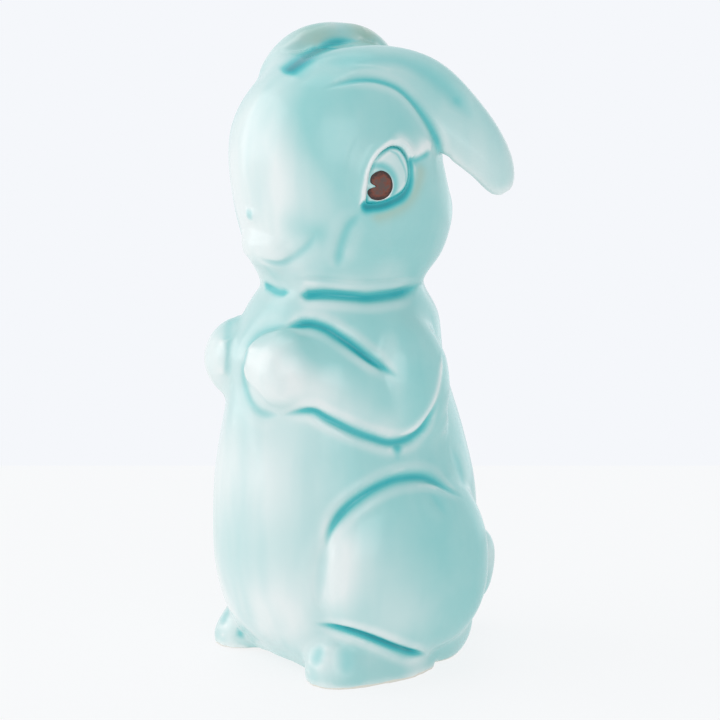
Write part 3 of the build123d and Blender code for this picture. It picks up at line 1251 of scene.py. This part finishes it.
    def melt(self) -> None:
        """Melts the pieces' joints into each other, as luting and glaze leave them."""
        skin = Skin(self.skin)
        weight = 1 - smooth_step(self.from_seam(skin), 0.4 * MM, self.seam_reach)
        self.draw_together(skin, weight, self.seam_rounds)
        tree = self.tree_of(self.skin)
        weight = 1 - smooth_step(
            np.abs(skin.points[:, 2] - self.neck_level), 0.35 * self.neck_reach, self.neck_reach
        )
        for blend in BLENDS:
            for place in self.touch(tree, blend.pixel, blend.mirrored):
                away = np.linalg.norm(skin.points - place, axis=1)
                weight = np.maximum(weight, 1 - smooth_step(away, 0.4 * blend.reach, blend.reach))
        self.draw_together(skin, weight, self.blend_rounds)
        skin.write()

    def from_seam(self, skin: Skin) -> np.ndarray:
        """Measures how far vertices are from a joint, roughly, by counting edges.

        Args:
            skin: The skin.

        Returns:
            One distance for each vertex.
        """
        numbers = np.empty(len(self.skin.data.polygons), np.int32)
        self.skin.data.attributes["piece"].data.foreach_get("value", numbers)
        vertices, _, faces = self.corners()
        low = np.full(skin.count, len(self.nodes))
        high = np.full(skin.count, -1)
        np.minimum.at(low, vertices, numbers[faces])
        np.maximum.at(high, vertices, numbers[faces])
        steps = np.where(low != high, 0.0, 99.0)
        for count in range(1, 9):
            reached = skin.around((steps < count).astype(float)) > 0
            steps = np.where(reached & (steps > count), count, steps)
        return steps * self.voxel

    def draw_together(self, skin: Skin, weight: np.ndarray, rounds: int) -> None:
        """Draws vertices to their neighbours' middle.

        Args:
            skin: The skin.
            weight: How strongly, for each vertex.
            rounds: How many times.
        """
        for _ in range(rounds):
            skin.points += 0.5 * weight[:, None] * (skin.around(skin.points) - skin.points)

    def touch(
        self, tree: BVHTree, pixel: tuple[float, float], mirrored: bool = False
    ) -> list[np.ndarray]:
        """Finds the skin's place behind a pixel, or the nearest one beside it.

        Args:
            tree: The skin's tree.
            pixel: The pixel.
            mirrored: Whether the rabbit's other side is wanted too.

        Returns:
            One place, or two.
        """
        eye, way = Vector(self.view.eye), Vector(self.view.ray(pixel))
        hit = tree.ray_cast(eye, way)[0]
        if hit is None:
            tries = [eye + way * t for t in np.linspace(0.5, 0.7, 81)]
            hit = min((tree.find_nearest(spot) for spot in tries), key=lambda found: found[3])[0]
        place = np.array(hit)
        return [place, place * (-1, 1, 1)] if mirrored else [place]

    def swell(self) -> None:
        """Raises the broad swells that the CAD's sections leave out."""
        tree = self.tree_of(self.skin)
        skin = Skin(self.skin)
        normals = skin.normals(12)
        for swell in SWELLS:
            share, places = 1.0, self.touch(tree, swell.pixel, swell.mirrored)
            if swell.piece:
                mine = self.belongs(skin, swell.piece)
                share = 1.0 if swell.way else skin.blur(mine, 5)
                own = skin.points[mine > 0]
                ray = self.view.ray(swell.pixel)
                aside = np.linalg.norm(np.cross(own - self.view.eye, ray), axis=1)
                place = own[aside.argmin()]
                places = [place, place * (-1, 1, 1)] if swell.mirrored else [place]
            for place in places:
                away = np.linalg.norm(skin.points - place, axis=1)
                way = normals[away.argmin()]
                if swell.way:
                    way = np.array(swell.way) * (math.copysign(1, place[0]), 1, 1)
                rise = share * swell.height * np.exp(-((away / swell.reach) ** 2))
                skin.points += way * rise[:, None]
        skin.points[:, 2] = np.maximum(skin.points[:, 2], 0.0)
        skin.write()

    def belongs(self, skin: Skin, piece: str) -> np.ndarray:
        """Tells which vertices belong to a piece.

        Args:
            skin: The skin.
            piece: The name of the CAD node.

        Returns:
            1 for each vertex of that piece, and 0 for the others.
        """
        numbers = np.empty(len(self.skin.data.polygons), np.int32)
        self.skin.data.attributes["piece"].data.foreach_get("value", numbers)
        vertices, _, faces = self.corners()
        mine = numbers[faces] == self.nodes.index(piece)
        return (np.bincount(vertices, mine, skin.count) > 0).astype(float)

    def eye_seat(self, side: Side) -> tuple[np.ndarray, np.ndarray, np.ndarray]:
        """Finds an eye's middle and the ways out of it and towards the back of the head.

        Args:
            side: The rabbit's side.

        Returns:
            The middle, the way out and the way back.
        """
        turn = math.radians(self.eye_turn)
        out = np.array([math.sin(turn) * side.value, -math.cos(turn), 0.0])
        back = np.array([math.cos(turn) * side.value, math.sin(turn), 0.0])
        middle = out * self.eye_reach + np.array([0, 0, self.eye_level])
        return middle, out, back

    def from_eye(self, points: np.ndarray, side: Side) -> tuple[np.ndarray, np.ndarray, np.ndarray]:
        """Measures points from an eye's middle.

        Args:
            points: The points, as rows.
            side: The rabbit's side.

        Returns:
            How far back, up and out they are.
        """
        middle, out, back = self.eye_seat(side)
        rows = points - middle
        return rows @ back, rows[:, 2], rows @ out

    def trace_eyes(self) -> None:
        """Lays the head's plain surface over both sockets, and traces the eye's lines on it."""
        skin = Skin(self.skin)
        rows, outs = [], []
        for side in Side:
            back, up, out = self.from_eye(skin.points, side)
            ring = np.hypot(back / self.eye_half[0], up / self.eye_half[1])
            beside = (ring > 1.3) & (ring < 1.8) & (np.abs(out) < 8 * MM)
            rows.append(EyeTrace.terms(back[beside], up[beside]))
            outs.append(out[beside] / MM)
        shape = np.linalg.lstsq(np.vstack(rows), np.concatenate(outs), rcond=None)[0]
        log.info("head about the eye: %s", np.round(shape, 4))
        for _ in range(25):
            mean = skin.around(skin.points)
            for side in Side:
                back, up, out = self.from_eye(skin.points, side)
                ring = np.hypot(back / self.eye_half[0], up / self.eye_half[1])
                over = (ring < 1.75) & (np.abs(out) < 9 * MM)
                share = (1 - smooth_step(ring[over], 1.2, 1.75))[:, None]
                skin.points[over] += 0.5 * share * (mean[over] - skin.points[over])
                back, up, out = self.from_eye(skin.points[over], side)
                lift = (EyeTrace.terms(back, up) @ shape * MM - out)[:, None] * share
                skin.points[over] += lift * self.eye_seat(side)[1]
        skin.write()
        tree = self.tree_of(self.skin)
        self.eyes = EyeTrace(
            shape,
            self.trace(tree, OPENING, closed=True),
            self.trace(tree, PUPIL, closed=True),
            self.trace(tree, IRIS_RING),
            self.trace(tree, INNER_LID),
        )

    def trace(self, tree: BVHTree, points: Pixels, closed: bool = False) -> np.ndarray:
        """Traces a line of the eye from the photograph onto the head.

        Args:
            tree: The skin's tree.
            points: The line's pixels, with any measures that go along with them.
            closed: Whether the line ends where it starts.

        Returns:
            Places back and up from the eye's middle, with those measures.
        """
        rows = []
        for drawn in self.spline(points, closed):
            spot = self.touch(tree, (drawn[0], drawn[1]))[0]
            back, up, _ = self.from_eye(spot[None], Side.LEFT)
            rows.append((back[0], up[0], *drawn[2:]))
        return np.array(rows)

    def cast_lines(self) -> list[CastLine]:
        """Casts the creases' pixels onto the skin.

        Returns:
            The creases' lines, those of both sides.
        """
        tree = self.tree_of(self.skin)
        lines = []
        for crease in CREASES:
            rows = np.array(
                [self.touch(tree, (drawn[0], drawn[1]))[0] for drawn in self.spline(crease.points)]
            )
            for _ in range(self.line_rounds):
                rows[1:-1] = 0.25 * rows[:-2] + 0.5 * rows[1:-1] + 0.25 * rows[2:]
            rows = np.array([tree.find_nearest(row)[0] for row in rows])
            run = np.concatenate([[0], np.cumsum(np.linalg.norm(np.diff(rows, axis=0), axis=1))])
            taper = crease.taper or crease.fade
            strength = smooth_step(run, -0.15 * crease.fade, crease.fade)
            strength *= smooth_step(run[-1] - run, -0.15 * taper, taper)
            lines.append(CastLine(crease, rows, strength))
            if crease.mirrored:
                lines.append(CastLine(crease, rows * (-1, 1, 1), strength))
        return lines

    def spline(self, points: Pixels, closed: bool = False, step: float = 0.5) -> list[np.ndarray]:
        """Draws a smooth line through pixels.

        Args:
            points: The pixels, with any measures that go along with them.
            closed: Whether the line ends where it starts.
            step: About how many pixels apart its points are.

        Returns:
            Points along the line.
        """
        rows = np.array(points, float)
        if closed:
            rows = np.vstack([rows[-1], rows, rows[:2]])
        else:
            rows = np.vstack([2 * rows[0] - rows[1], rows, 2 * rows[-1] - rows[-2]])
        drawn = []
        for before, start, end, after in zip(rows, rows[1:], rows[2:], rows[3:]):
            steps = max(2, int(np.linalg.norm((end - start)[:2]) / step))
            for t in np.arange(steps) / steps:
                drawn.append(
                    0.5 * (
                        2 * start + (end - before) * t
                        + (2 * before - 5 * start + 4 * end - after) * t**2
                        + (3 * start - before - 3 * end + after) * t**3
                    )
                )
        if not closed:
            drawn.append(rows[-2])
        return drawn

    def refine(self, lines: list[CastLine]) -> None:
        """Divides the skin more finely beside creases and about the eyes, and again on the lids.

        Args:
            lines: The creases' lines.
        """
        skin = Skin(self.skin)
        near = np.zeros(skin.count, bool)
        for side in Side:
            middle = self.eye_seat(side)[0]
            near |= np.linalg.norm(skin.points - middle, axis=1) < self.eye_zone * self.lid_share
        for line in lines:
            if line.crease.depth:
                near[line.near(skin.points, line.crease.width * 1.5)[0]] = True
        self.divide(near)
        self.divide(self.on_lids(Skin(self.skin)))

    def on_lids(self, skin: Skin) -> np.ndarray:
        """Finds the vertices on the lids and beside them.

        Args:
            skin: The skin.

        Returns:
            One true or false for each vertex.
        """
        near = np.zeros(skin.count, bool)
        for side in Side:
            back, up, out = self.from_eye(skin.points, side)
            close = np.flatnonzero(np.hypot(back, np.hypot(up, out)) < self.eye_zone * self.lid_share)
            into = self.eyes.edge(back[close], up[close])[0]
            near[close] = (into > -2.4 * MM) & (into < 1.0 * MM)
        return near

    def divide(self, near: np.ndarray) -> None:
        """Divides the faces whose corners are all marked.

        Args:
            near: One true or false for each vertex.
        """
        vertices, _, faces = self.corners()
        count = len(self.skin.data.polygons)
        unmarked = np.bincount(faces, ~near[vertices], count)
        select_faces(self.skin, unmarked == 0)
        bpy.ops.mesh.subdivide(number_cuts=1, smoothness=0.0)
        bpy.ops.object.mode_set(mode="OBJECT")

    def carve(self, lines: list[CastLine]) -> None:
        """Cuts the creases, raises the ridges, shapes the lids and stores the glaze, with painted
        shade and painted highlights in it.

        Args:
            lines: The creases' lines.
        """
        tree = self.tree_of(self.skin)
        skin = Skin(self.skin)
        normals = skin.normals(14)
        move, pool, pale, calm, iron = (np.zeros(skin.count) for _ in range(5))
        for line in lines:
            crease = line.crease
            numbers, gap, spot = line.near(skin.points, crease.width * 3.4)
            strength = line.strength[spot]
            share = gap / (crease.width * (0.45 + 0.55 * strength))
            cut = np.exp(-(share**2))
            rise = crease.lip * np.exp(-(((share - 1.9) / 0.7) ** 2))
            move[numbers] += crease.depth * strength * (rise - cut)
            # Paler along ridges: glaze run off them, and a painted highlight.
            pale[numbers] = np.maximum(pale[numbers], crease.pale * strength * cut)
            iron[numbers] = np.maximum(iron[numbers], crease.iron * strength * cut)
            # Darker in the line: pooled glaze, and painted shade.
            glaze = crease.pool * strength * np.exp(-((share / crease.pool_width) ** 2))
            pool[numbers] = np.maximum(pool[numbers], glaze)
            # Paler band beside the line: thinly run glaze, and a painted highlight.
            pale_halo_and_highlight = crease.pale_halo_and_highlight * crease.pool * strength * np.exp(-(((share - 2.4) / 0.9) ** 2))
            pale[numbers] = np.maximum(pale[numbers], pale_halo_and_highlight)
            if crease.pool > 0.5:
                quiet = strength * np.exp(-((gap / self.calm_reach) ** 2))
                calm[numbers] = np.maximum(calm[numbers], quiet)
        for side in Side:
            self.shape_lids(skin, side, move, pool, pale)
        lit_side_normals = skin.normals(15)
        skin.points += normals * move[:, None]
        skin.points[:, 2] = np.maximum(skin.points[:, 2], 0.0)
        skin.write()
        bend = skin.blur(skin.bend(), 12)
        # Darker in hollows: pooled glaze together with painted shade where it falls in them.
        hollow = smooth_step(-bend, 0.06, 0.6) * (1 - smooth_step(skin.blur(pale, 6), 0.0, 0.3))
        pool = np.maximum(pool, 0.4 * hollow * (1 - calm))
        # Paler over outward bends, ridges and crease sides: thinly run glaze, partly painted
        # highlight.
        thin_glaze_and_highlight = 0.7 * smooth_step(bend, 0.06, 0.4) + pale
        # Painted light: surfaces that face -Y, the lit front, are made paler.
        thin_glaze_and_highlight += 0.4 * smooth_step(-lit_side_normals[:, 1], 0.2, 0.95)
        # Broad patches of painted highlight and painted shade, with thinner and thicker glaze and
        # iron tints.
        for glaze_and_light_patch in GLAZE_AND_LIGHT_PATCHES:
            for place in self.touch(tree, glaze_and_light_patch.pixel, glaze_and_light_patch.mirrored):
                share = np.exp(-((np.linalg.norm(skin.points - place, axis=1) / glaze_and_light_patch.reach) ** 2))
                thin_glaze_and_highlight += glaze_and_light_patch.thinning_and_light * share
                iron = np.maximum(iron, glaze_and_light_patch.iron * share)
        thin_glaze_and_highlight = np.clip(thin_glaze_and_highlight, 0, 1)
        skin.store("pool", skin.blur(pool, 3))
        skin.store("thin_glaze_and_highlight", skin.blur(thin_glaze_and_highlight, 3))
        skin.store("iron", iron)
        skin.store("outward", skin.normals())

    def shape_lids(
        self, skin: Skin, side: Side, move: np.ndarray, pool: np.ndarray, pale: np.ndarray
    ) -> None:
        """Shapes the lids of an eye, and drops the skin under its eyeball.

        Args:
            skin: The skin.
            side: The rabbit's side.
            move: Each vertex's move, which is added to.
            pool: Each vertex's pooled glaze and painted shade, which is added to.
            pale: Where each vertex is paler, from glaze run off a ridge and a painted highlight,
                which is added to.
        """
        back, up, out = self.from_eye(skin.points, side)
        close = np.flatnonzero(np.hypot(back, np.hypot(up, out)) < self.eye_zone)
        into, lid, wet = self.eyes.edge(back[close], up[close])
        away = -into
        slope = np.where(away > 0.6 * MM, 1.35 * MM, 0.55 * MM)
        ridge = lid * np.exp(-(((away - 0.6 * MM) / slope) ** 2))
        low = wet * (1 - smooth_step(lid, 0.2 * MM, 0.6 * MM))
        spread = (0.35 + 0.75 * low**2) * MM
        trench = -0.55 * MM * low * np.exp(-(((away - 0.7 * spread) / spread) ** 2))
        under = -2.4 * MM * smooth_step(into, 0.0, 0.6 * MM)
        move[close] += ridge + trench + under
        # Darker in the trench under the lower lid and along the opening's wet edge: pooled glaze,
        # with the lids' shade painted in.
        glaze = 1.4 * low * np.exp(-(((away - 0.7 * spread) / (1.15 * spread)) ** 2))
        glaze = np.maximum(glaze, 0.6 * wet * smooth_step(into, -0.15 * MM, 0.25 * MM))
        pool[close] = np.maximum(pool[close], glaze)
        # Paler along the lids' ridges: glaze run off them, with a painted highlight.
        bared_and_highlit = 0.8 * smooth_step(lid, 0.1 * MM, 0.7 * MM)
        bared_and_highlit *= np.exp(-(((away - 0.6 * MM) / (0.9 * MM)) ** 2))
        pale[close] = np.maximum(pale[close], bared_and_highlit)


@dataclass
class Parting:
    """Parts the skin into the pieces that were luted together, each closed over its joint."""

    nodes: tuple[str, ...]
    cavity_radii: tuple[float, float, float] = (22 * MM, 25 * MM, 40 * MM)
    cavity_level: float = 46 * MM
    pour_radius: float = 7 * MM
    pour_setback: float = 11 * MM
    joint_depth: float = 2.0 * MM

    def build(self, skin: bpy.types.Object, glaze: bpy.types.Material) -> None:
        """Parts the skin, closes each piece and dresses it.

        Args:
            skin: The carved skin.
            glaze: The glaze over it.
        """
        for number, name in enumerate(self.nodes):
            piece = self.take(skin, number)
            self.close(piece)
            if name == "torso":
                self.hollow(piece)
            self.round_off(piece)
            dress(piece, name, glaze)
        bpy.data.objects.remove(skin)

    def take(self, skin: bpy.types.Object, number: int) -> bpy.types.Object:
        """Separates one piece's faces from the skin.

        Args:
            skin: The skin.
            number: The piece's number.

        Returns:
            The piece.
        """
        numbers = np.empty(len(skin.data.polygons), np.int32)
        skin.data.attributes["piece"].data.foreach_get("value", numbers)
        select_faces(skin, numbers == number)
        bpy.ops.mesh.separate(type="SELECTED")
        bpy.ops.object.mode_set(mode="OBJECT")
        return next(o for o in bpy.context.selected_objects if o is not skin)

    def close(self, piece: bpy.types.Object) -> None:
        """Closes a piece over its joints.

        Args:
            piece: The open piece.
        """
        make_active(piece)
        bpy.ops.object.mode_set(mode="EDIT")
        bpy.ops.mesh.select_mode(type="EDGE")
        bpy.ops.mesh.select_all(action="DESELECT")
        bpy.ops.mesh.select_non_manifold(extend=False, use_wire=False, use_multi_face=False)
        bpy.ops.mesh.extrude_edges_move()
        bpy.ops.object.mode_set(mode="OBJECT")
        self.sink(piece)
        bpy.ops.object.mode_set(mode="EDIT")
        bpy.ops.mesh.fill_holes(sides=0)
        bpy.ops.mesh.select_mode(type="FACE")
        bpy.ops.mesh.select_all(action="SELECT")
        bpy.ops.mesh.quads_convert_to_tris(quad_method="SHORTEST_DIAGONAL", ngon_method="BEAUTY")
        bpy.ops.object.mode_set(mode="OBJECT")

    def sink(self, piece: bpy.types.Object) -> None:
        """Sinks the selected vertices under the skin, so that a joint's cap lies inside.

        Args:
            piece: The piece.
        """
        mesh = piece.data
        chosen = np.empty(len(mesh.vertices), bool)
        mesh.vertices.foreach_get("select", chosen)
        outward = np.empty(len(mesh.vertices) * 3, np.float32)
        mesh.attributes["outward"].data.foreach_get("vector", outward)
        points = np.empty(len(mesh.vertices) * 3, np.float32)
        mesh.vertices.foreach_get("co", points)
        points = points.reshape(-1, 3)
        points[chosen] -= outward.reshape(-1, 3)[chosen] * self.joint_depth
        points[:, 2] = np.maximum(points[:, 2], 0.0)
        mesh.vertices.foreach_set("co", points.ravel())
        mesh.update()

    def hollow(self, torso: bpy.types.Object) -> None:
        """Hollows the torso out and opens its pour hole.

        Args:
            torso: The closed torso.
        """
        deselect_everything()
        bpy.ops.mesh.primitive_uv_sphere_add(
            segments=64, ring_count=40, radius=1, location=(0, 0, self.cavity_level)
        )
        cavity = bpy.context.object
        cavity.scale = self.cavity_radii
        make_active(cavity)
        bpy.ops.object.transform_apply(location=True, rotation=True, scale=True)
        deselect_everything()
        bpy.ops.mesh.primitive_cylinder_add(
            vertices=96, radius=self.pour_radius, depth=0.04, location=(0, self.pour_setback, 0.0)
        )
        pour = bpy.context.object
        for tool in (cavity, pour):
            apply_modifier(torso, "BOOLEAN", operation="DIFFERENCE", solver="MANIFOLD", object=tool)
            bpy.data.objects.remove(tool)

    def round_off(self, piece: bpy.types.Object) -> None:
        """Shades a piece with the whole skin's normals, so that no joint shows.

        Args:
            piece: The closed piece.
        """
        mesh = piece.data
        outward = np.empty(len(mesh.vertices) * 3, np.float32)
        mesh.attributes["outward"].data.foreach_get("vector", outward)
        outward = outward.reshape(-1, 3)
        corners = np.empty(len(mesh.loops), np.int32)
        mesh.loops.foreach_get("vertex_index", corners)
        totals = np.empty(len(mesh.polygons), np.int32)
        mesh.polygons.foreach_get("loop_total", totals)
        flat = np.empty(len(mesh.polygons) * 3, np.float32)
        mesh.polygons.foreach_get("normal", flat)
        faces = np.repeat(np.arange(len(mesh.polygons)), totals)
        flat = flat.reshape(-1, 3)[faces]
        rows = outward[corners]
        length = np.linalg.norm(rows, axis=1)
        agree = (rows * flat).sum(1) / np.maximum(length, 1e-9)
        rows = np.where((agree > 0.5)[:, None], rows / np.maximum(length, 1e-9)[:, None], flat)
        mesh.polygons.foreach_set("use_smooth", np.ones(len(mesh.polygons), bool))
        mesh.normals_split_custom_set(rows)


@dataclass
class Eye:
    """An eyeball with its carved rings, and the enamel pupil with its wedge left bare."""

    side: Side
    casting: Casting
    tuck: float = 0.45 * MM
    bulge: float = 0.55 * MM
    thickness: float = 1.6 * MM
    coat: float = 0.2 * MM

    @property
    def label(self) -> str:
        """The side's name, as the CAD nodes have it."""
        return self.side.name.lower()

    def place(self, back: np.ndarray, up: np.ndarray, out: np.ndarray) -> np.ndarray:
        """Turns the eye's own measures into the frame's.

        Args:
            back: Towards the back of the head.
            up: Upwards.
            out: Out of the head.

        Returns:
            The points.
        """
        middle, way_out, way_back = self.casting.eye_seat(self.side)
        return middle + np.outer(back, way_back) + np.outer(out, way_out) + np.outer(up, (0, 0, 1))

    def mark(self, line: np.ndarray, back: np.ndarray, up: np.ndarray, width: float) -> np.ndarray:
        """Fades out from a line traced on the eye.

        Args:
            line: The line's places.
            back: The points' places towards the back.
            up: Their places upwards.
            width: The line's half width.

        Returns:
            1 on the line, and less away from it.
        """
        gap = nearness(np.column_stack([back, up]), line[:, :2]).min(1)
        return np.exp(-((gap / width) ** 2))

    def ball(self, back: np.ndarray, up: np.ndarray) -> np.ndarray:
        """Gives how far out the carved eyeball's surface is.

        Args:
            back: The points' places towards the back.
            up: Their places upwards.

        Returns:
            The distances out from the eye's middle.
        """
        eyes = self.casting.eyes
        into, _, wet = eyes.edge(back, up)
        edge = 0.25 * MM + 0.45 * MM * wet
        rise = -edge + (edge + 0.15 * MM) * smooth_step(into, -0.1 * MM, 1.0 * MM)
        rise -= 2.2 * MM * smooth_step(-into, 0.0, self.tuck)
        rise += self.bulge * (1 - np.hypot(back / (6 * MM), up / (8 * MM)) ** 2)
        rise -= 0.26 * MM * self.mark(eyes.iris_ring, back, up, 0.7 * MM)
        rise -= 0.14 * MM * self.mark(eyes.inner_lid, back, up, 0.35 * MM)
        rise += 0.12 * MM * self.mark(eyes.pupil, back, up, 0.3 * MM)
        return eyes.plain(back, up) + rise

    def build(self, glaze: bpy.types.Material, enamel: bpy.types.Material) -> None:
        """Builds and dresses both pieces.

        Args:
            glaze: The eyeball's glaze.
            enamel: The pupil's enamel.
        """
        self.build_eyeball(glaze)
        self.build_pupil(enamel)

    def press(self, outline: np.ndarray, beyond: float, segments: int, rings: int) -> tuple:
        """Presses a ball flat within an outline.

        Args:
            outline: The outline's places on the eye.
            beyond: How far outside the outline it goes.
            segments: The ball's segments.
            rings: Its rings.

        Returns:
            The object, its skin, and its points' places back and up and shares out.
        """
        deselect_everything()
        bpy.ops.mesh.primitive_uv_sphere_add(segments=segments, ring_count=rings, radius=1)
        piece = bpy.context.object
        skin = Skin(piece)
        across, up, out = skin.points.T
        turn = np.arctan2(up, across)
        middle, reach = self.casting.eyes.reach(outline, turn)
        share = np.hypot(across, up) * (reach + beyond)
        return piece, skin, middle[0] + np.cos(turn) * share, middle[1] + np.sin(turn) * share, out

    def build_eyeball(self, glaze: bpy.types.Material) -> None:
        """Builds the eyeball from a ball whose pole looks out of the head.

        Args:
            glaze: Its glaze.
        """
        eyes = self.casting.eyes
        ball, skin, back, up, out = self.press(eyes.opening, self.tuck, 192, 120)
        inner = eyes.plain(back, up) + self.bulge - self.thickness * (1 - 1.6 * np.minimum(out, 0))
        skin.points = self.place(back, up, np.where(out >= -1e-6, self.ball(back, up), inner))
        skin.write()
        self.turn_outward(ball)
        into, _, wet = eyes.edge(back, up)
        pool = 0.45 * self.mark(eyes.iris_ring, back, up, 1.1 * MM)
        pool = np.maximum(pool, 0.3 * self.mark(eyes.inner_lid, back, up, 0.4 * MM))
        # Darker inside the opening's edge: pooled glaze, with the lids' shadow painted in.
        pool = np.maximum(pool, 0.9 * wet * (1 - smooth_step(into, 0.1 * MM, 1.5 * MM)))
        round_pupil = self.mark(eyes.pupil, back, up, 0.6 * MM)
        rim = np.exp(-(((into - 1.1 * MM) / (0.5 * MM)) ** 2))
        low = smooth_step(back - up - eyes.pupil[:, 0].mean() + eyes.pupil[:, 1].mean(), 0, 3 * MM)
        low *= smooth_step(back - eyes.pupil[:, 0].min(), 1.0 * MM, 2.5 * MM)
        beside = self.mark(eyes.pupil, back, up, 0.4 * MM) * low
        pool = np.maximum(pool, 0.3 * round_pupil * (1 - low))
        skin.store("pool", np.clip(pool - 0.4 * beside, 0, 1))
        skin.store("thin_glaze_and_highlight", np.clip(0.35 + 0.5 * rim + 0.6 * beside - pool, 0, 1))
        bpy.ops.object.shade_smooth()
        dress(ball, f"{self.label}_eyeball", glaze)

    def build_pupil(self, enamel: bpy.types.Material) -> None:
        """Builds the pupil from a ball pressed into a coat with a wedge left out of it.

        Args:
            enamel: Its enamel.
        """
        coat, skin, back, up, out = self.press(self.casting.eyes.pupil, 0.0, 160, 40)
        lift = np.where(out > 0, self.coat * np.sqrt(np.maximum(out, 0)), 0.25 * MM * out)
        skin.points = self.place(back, up, self.ball(back, up) + lift)
        skin.write()
        skin.store("edge", 1 - np.clip(out, 0, 1))
        self.turn_outward(coat)
        bpy.ops.object.shade_smooth()
        dress(coat, f"{self.label}_pupil", enamel)

    def turn_outward(self, piece: bpy.types.Object) -> None:
        """Makes a piece's faces look outwards, which mirroring turns inwards on the right side.

        Args:
            piece: The piece.
        """
        if self.side is Side.LEFT:
            return
        make_active(piece)
        bpy.ops.object.mode_set(mode="EDIT")
        bpy.ops.mesh.select_all(action="SELECT")
        bpy.ops.mesh.flip_normals()
        bpy.ops.object.mode_set(mode="OBJECT")


@dataclass(frozen=True)
class Lamp:
    """A soft box, hung towards a side of the photograph."""

    name: str
    right: float
    up: float
    near: float
    size: float
    strength: float


@dataclass
class Studio:
    """A pale table, a paler backdrop and soft boxes at a plain level."""

    view: PhotoView
    table_behind: float = 217 * MM
    backdrop: Colour = linear(245, 247, 251)
    table: Colour = linear(250, 251, 252)
    ambient: float = 0.64
    bounce: float = 0.4
    lamps: tuple[Lamp, ...] = (
        Lamp("key_box", -1.5, 0.4, 0.0, 1.7, 10.7),
        Lamp("back_box", 1.0, 0.3, -1.2, 1.2, 2.0),
        Lamp("front_box", 0.2, 0.5, 1.5, 1.0, 4.0),
        Lamp("top_box", -0.2, 1.4, -0.2, 1.0, 3.0),
    )

    def build(self) -> None:
        """Sets the table, the light and the camera."""
        self.view.make_camera()
        self.lay_table()
        self.hang_lamps()
        self.fill_world()
        bpy.context.scene.view_settings.view_transform = "Standard"

    def lay_table(self) -> None:
        """Lays the table, which ends behind the rabbit as the photograph shows."""
        deselect_everything()
        bpy.ops.mesh.primitive_plane_add(size=1)
        table = bpy.context.object
        table.name = "table"
        away = Vector((-self.view.back[0], -self.view.back[1], 0)).normalized()
        right = Vector(self.view.right)
        for vertex in table.data.vertices:
            far = self.table_behind if vertex.co.y > 0 else -1.6
            vertex.co = away * far + right * (2.4 * vertex.co.x)
        table.data.update()
        material = bpy.data.materials.new("table_laminate")
        material.use_nodes = True
        tree = material.node_tree
        shader = tree.nodes["Principled BSDF"]
        shader.inputs["Base Color"].default_value = (*self.table, 1)
        shader.inputs["Roughness"].default_value = 0.45
        glow = tree.nodes.new("ShaderNodeEmission")
        glow.inputs["Color"].default_value = (*self.table, 1)
        share = tree.nodes.new("ShaderNodeMapRange")
        share.inputs["To Min"].default_value = self.bounce
        share.inputs["To Max"].default_value = 0.84
        tree.links.new(self.seen_directly(tree), share.inputs["Value"])
        mix = tree.nodes.new("ShaderNodeMixShader")
        tree.links.new(share.outputs[0], mix.inputs[0])
        tree.links.new(shader.outputs[0], mix.inputs[1])
        tree.links.new(glow.outputs[0], mix.inputs[2])
        tree.links.new(mix.outputs[0], tree.nodes["Material Output"].inputs["Surface"])
        table.data.materials.append(material)

    def seen_directly(self, tree: bpy.types.NodeTree) -> bpy.types.NodeSocket:
        """Tells rays that see a surface or its mirror image from those that light others.

        Args:
            tree: The node tree to add to.

        Returns:
            1 for rays that see, and 0 for those that light.
        """
        path = tree.nodes.new("ShaderNodeLightPath")
        first = tree.nodes.new("ShaderNodeMath")
        first.operation = "MAXIMUM"
        second = tree.nodes.new("ShaderNodeMath")
        second.operation = "MAXIMUM"
        tree.links.new(path.outputs["Is Camera Ray"], first.inputs[0])
        tree.links.new(path.outputs["Is Glossy Ray"], first.inputs[1])
        tree.links.new(first.outputs[0], second.inputs[0])
        tree.links.new(path.outputs["Is Transmission Ray"], second.inputs[1])
        return second.outputs[0]

    def hang_lamps(self) -> None:
        """Hangs the soft boxes, each turned to the rabbit."""
        aim = Vector((0, 0, self.view.aim_height))
        toward = Vector((self.view.back[0], self.view.back[1], 0)).normalized()
        for lamp in self.lamps:
            data = bpy.data.lights.new(lamp.name, "AREA")
            data.shape = "SQUARE"
            data.size = lamp.size
            data.energy = lamp.strength
            box = bpy.data.objects.new(lamp.name, data)
            bpy.context.scene.collection.objects.link(box)
            offset = Vector(self.view.right) * lamp.right + toward * lamp.near
            box.location = aim + offset + Vector((0, 0, lamp.up))
            box.rotation_mode = "QUATERNION"
            box.rotation_quaternion = (aim - box.location).to_track_quat("-Z", "Y")

    def fill_world(self) -> None:
        """Fills the world with even light, pale where it is seen."""
        world = bpy.data.worlds.new("studio")
        bpy.context.scene.world = world
        world.use_nodes = True
        tree = world.node_tree
        light = tree.nodes["Background"]
        light.inputs["Color"].default_value = (*self.backdrop, 1)
        light.inputs["Strength"].default_value = self.ambient
        backdrop = tree.nodes.new("ShaderNodeBackground")
        backdrop.inputs["Color"].default_value = (*self.backdrop, 1)
        mix = tree.nodes.new("ShaderNodeMixShader")
        tree.links.new(self.seen_directly(tree), mix.inputs[0])
        tree.links.new(light.outputs[0], mix.inputs[1])
        tree.links.new(backdrop.outputs[0], mix.inputs[2])
        tree.links.new(mix.outputs[0], tree.nodes["World Output"].inputs["Surface"])


def main() -> None:
    """Builds the rabbit piece by piece, then its studio."""
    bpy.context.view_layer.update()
    view = PhotoView()
    glaze = CeladonGlaze().make()
    casting = Casting(view)
    skin = casting.build()
    Parting(casting.nodes).build(skin, glaze)
    eye_glaze = CeladonGlaze(name="eye_glaze", body=linear(196, 228, 226)).make()
    enamel = PupilEnamel().make()
    for side in Side:
        Eye(side, casting).build(eye_glaze, enamel)
    Studio(view).build()


if __name__ == "__main__":
    main()
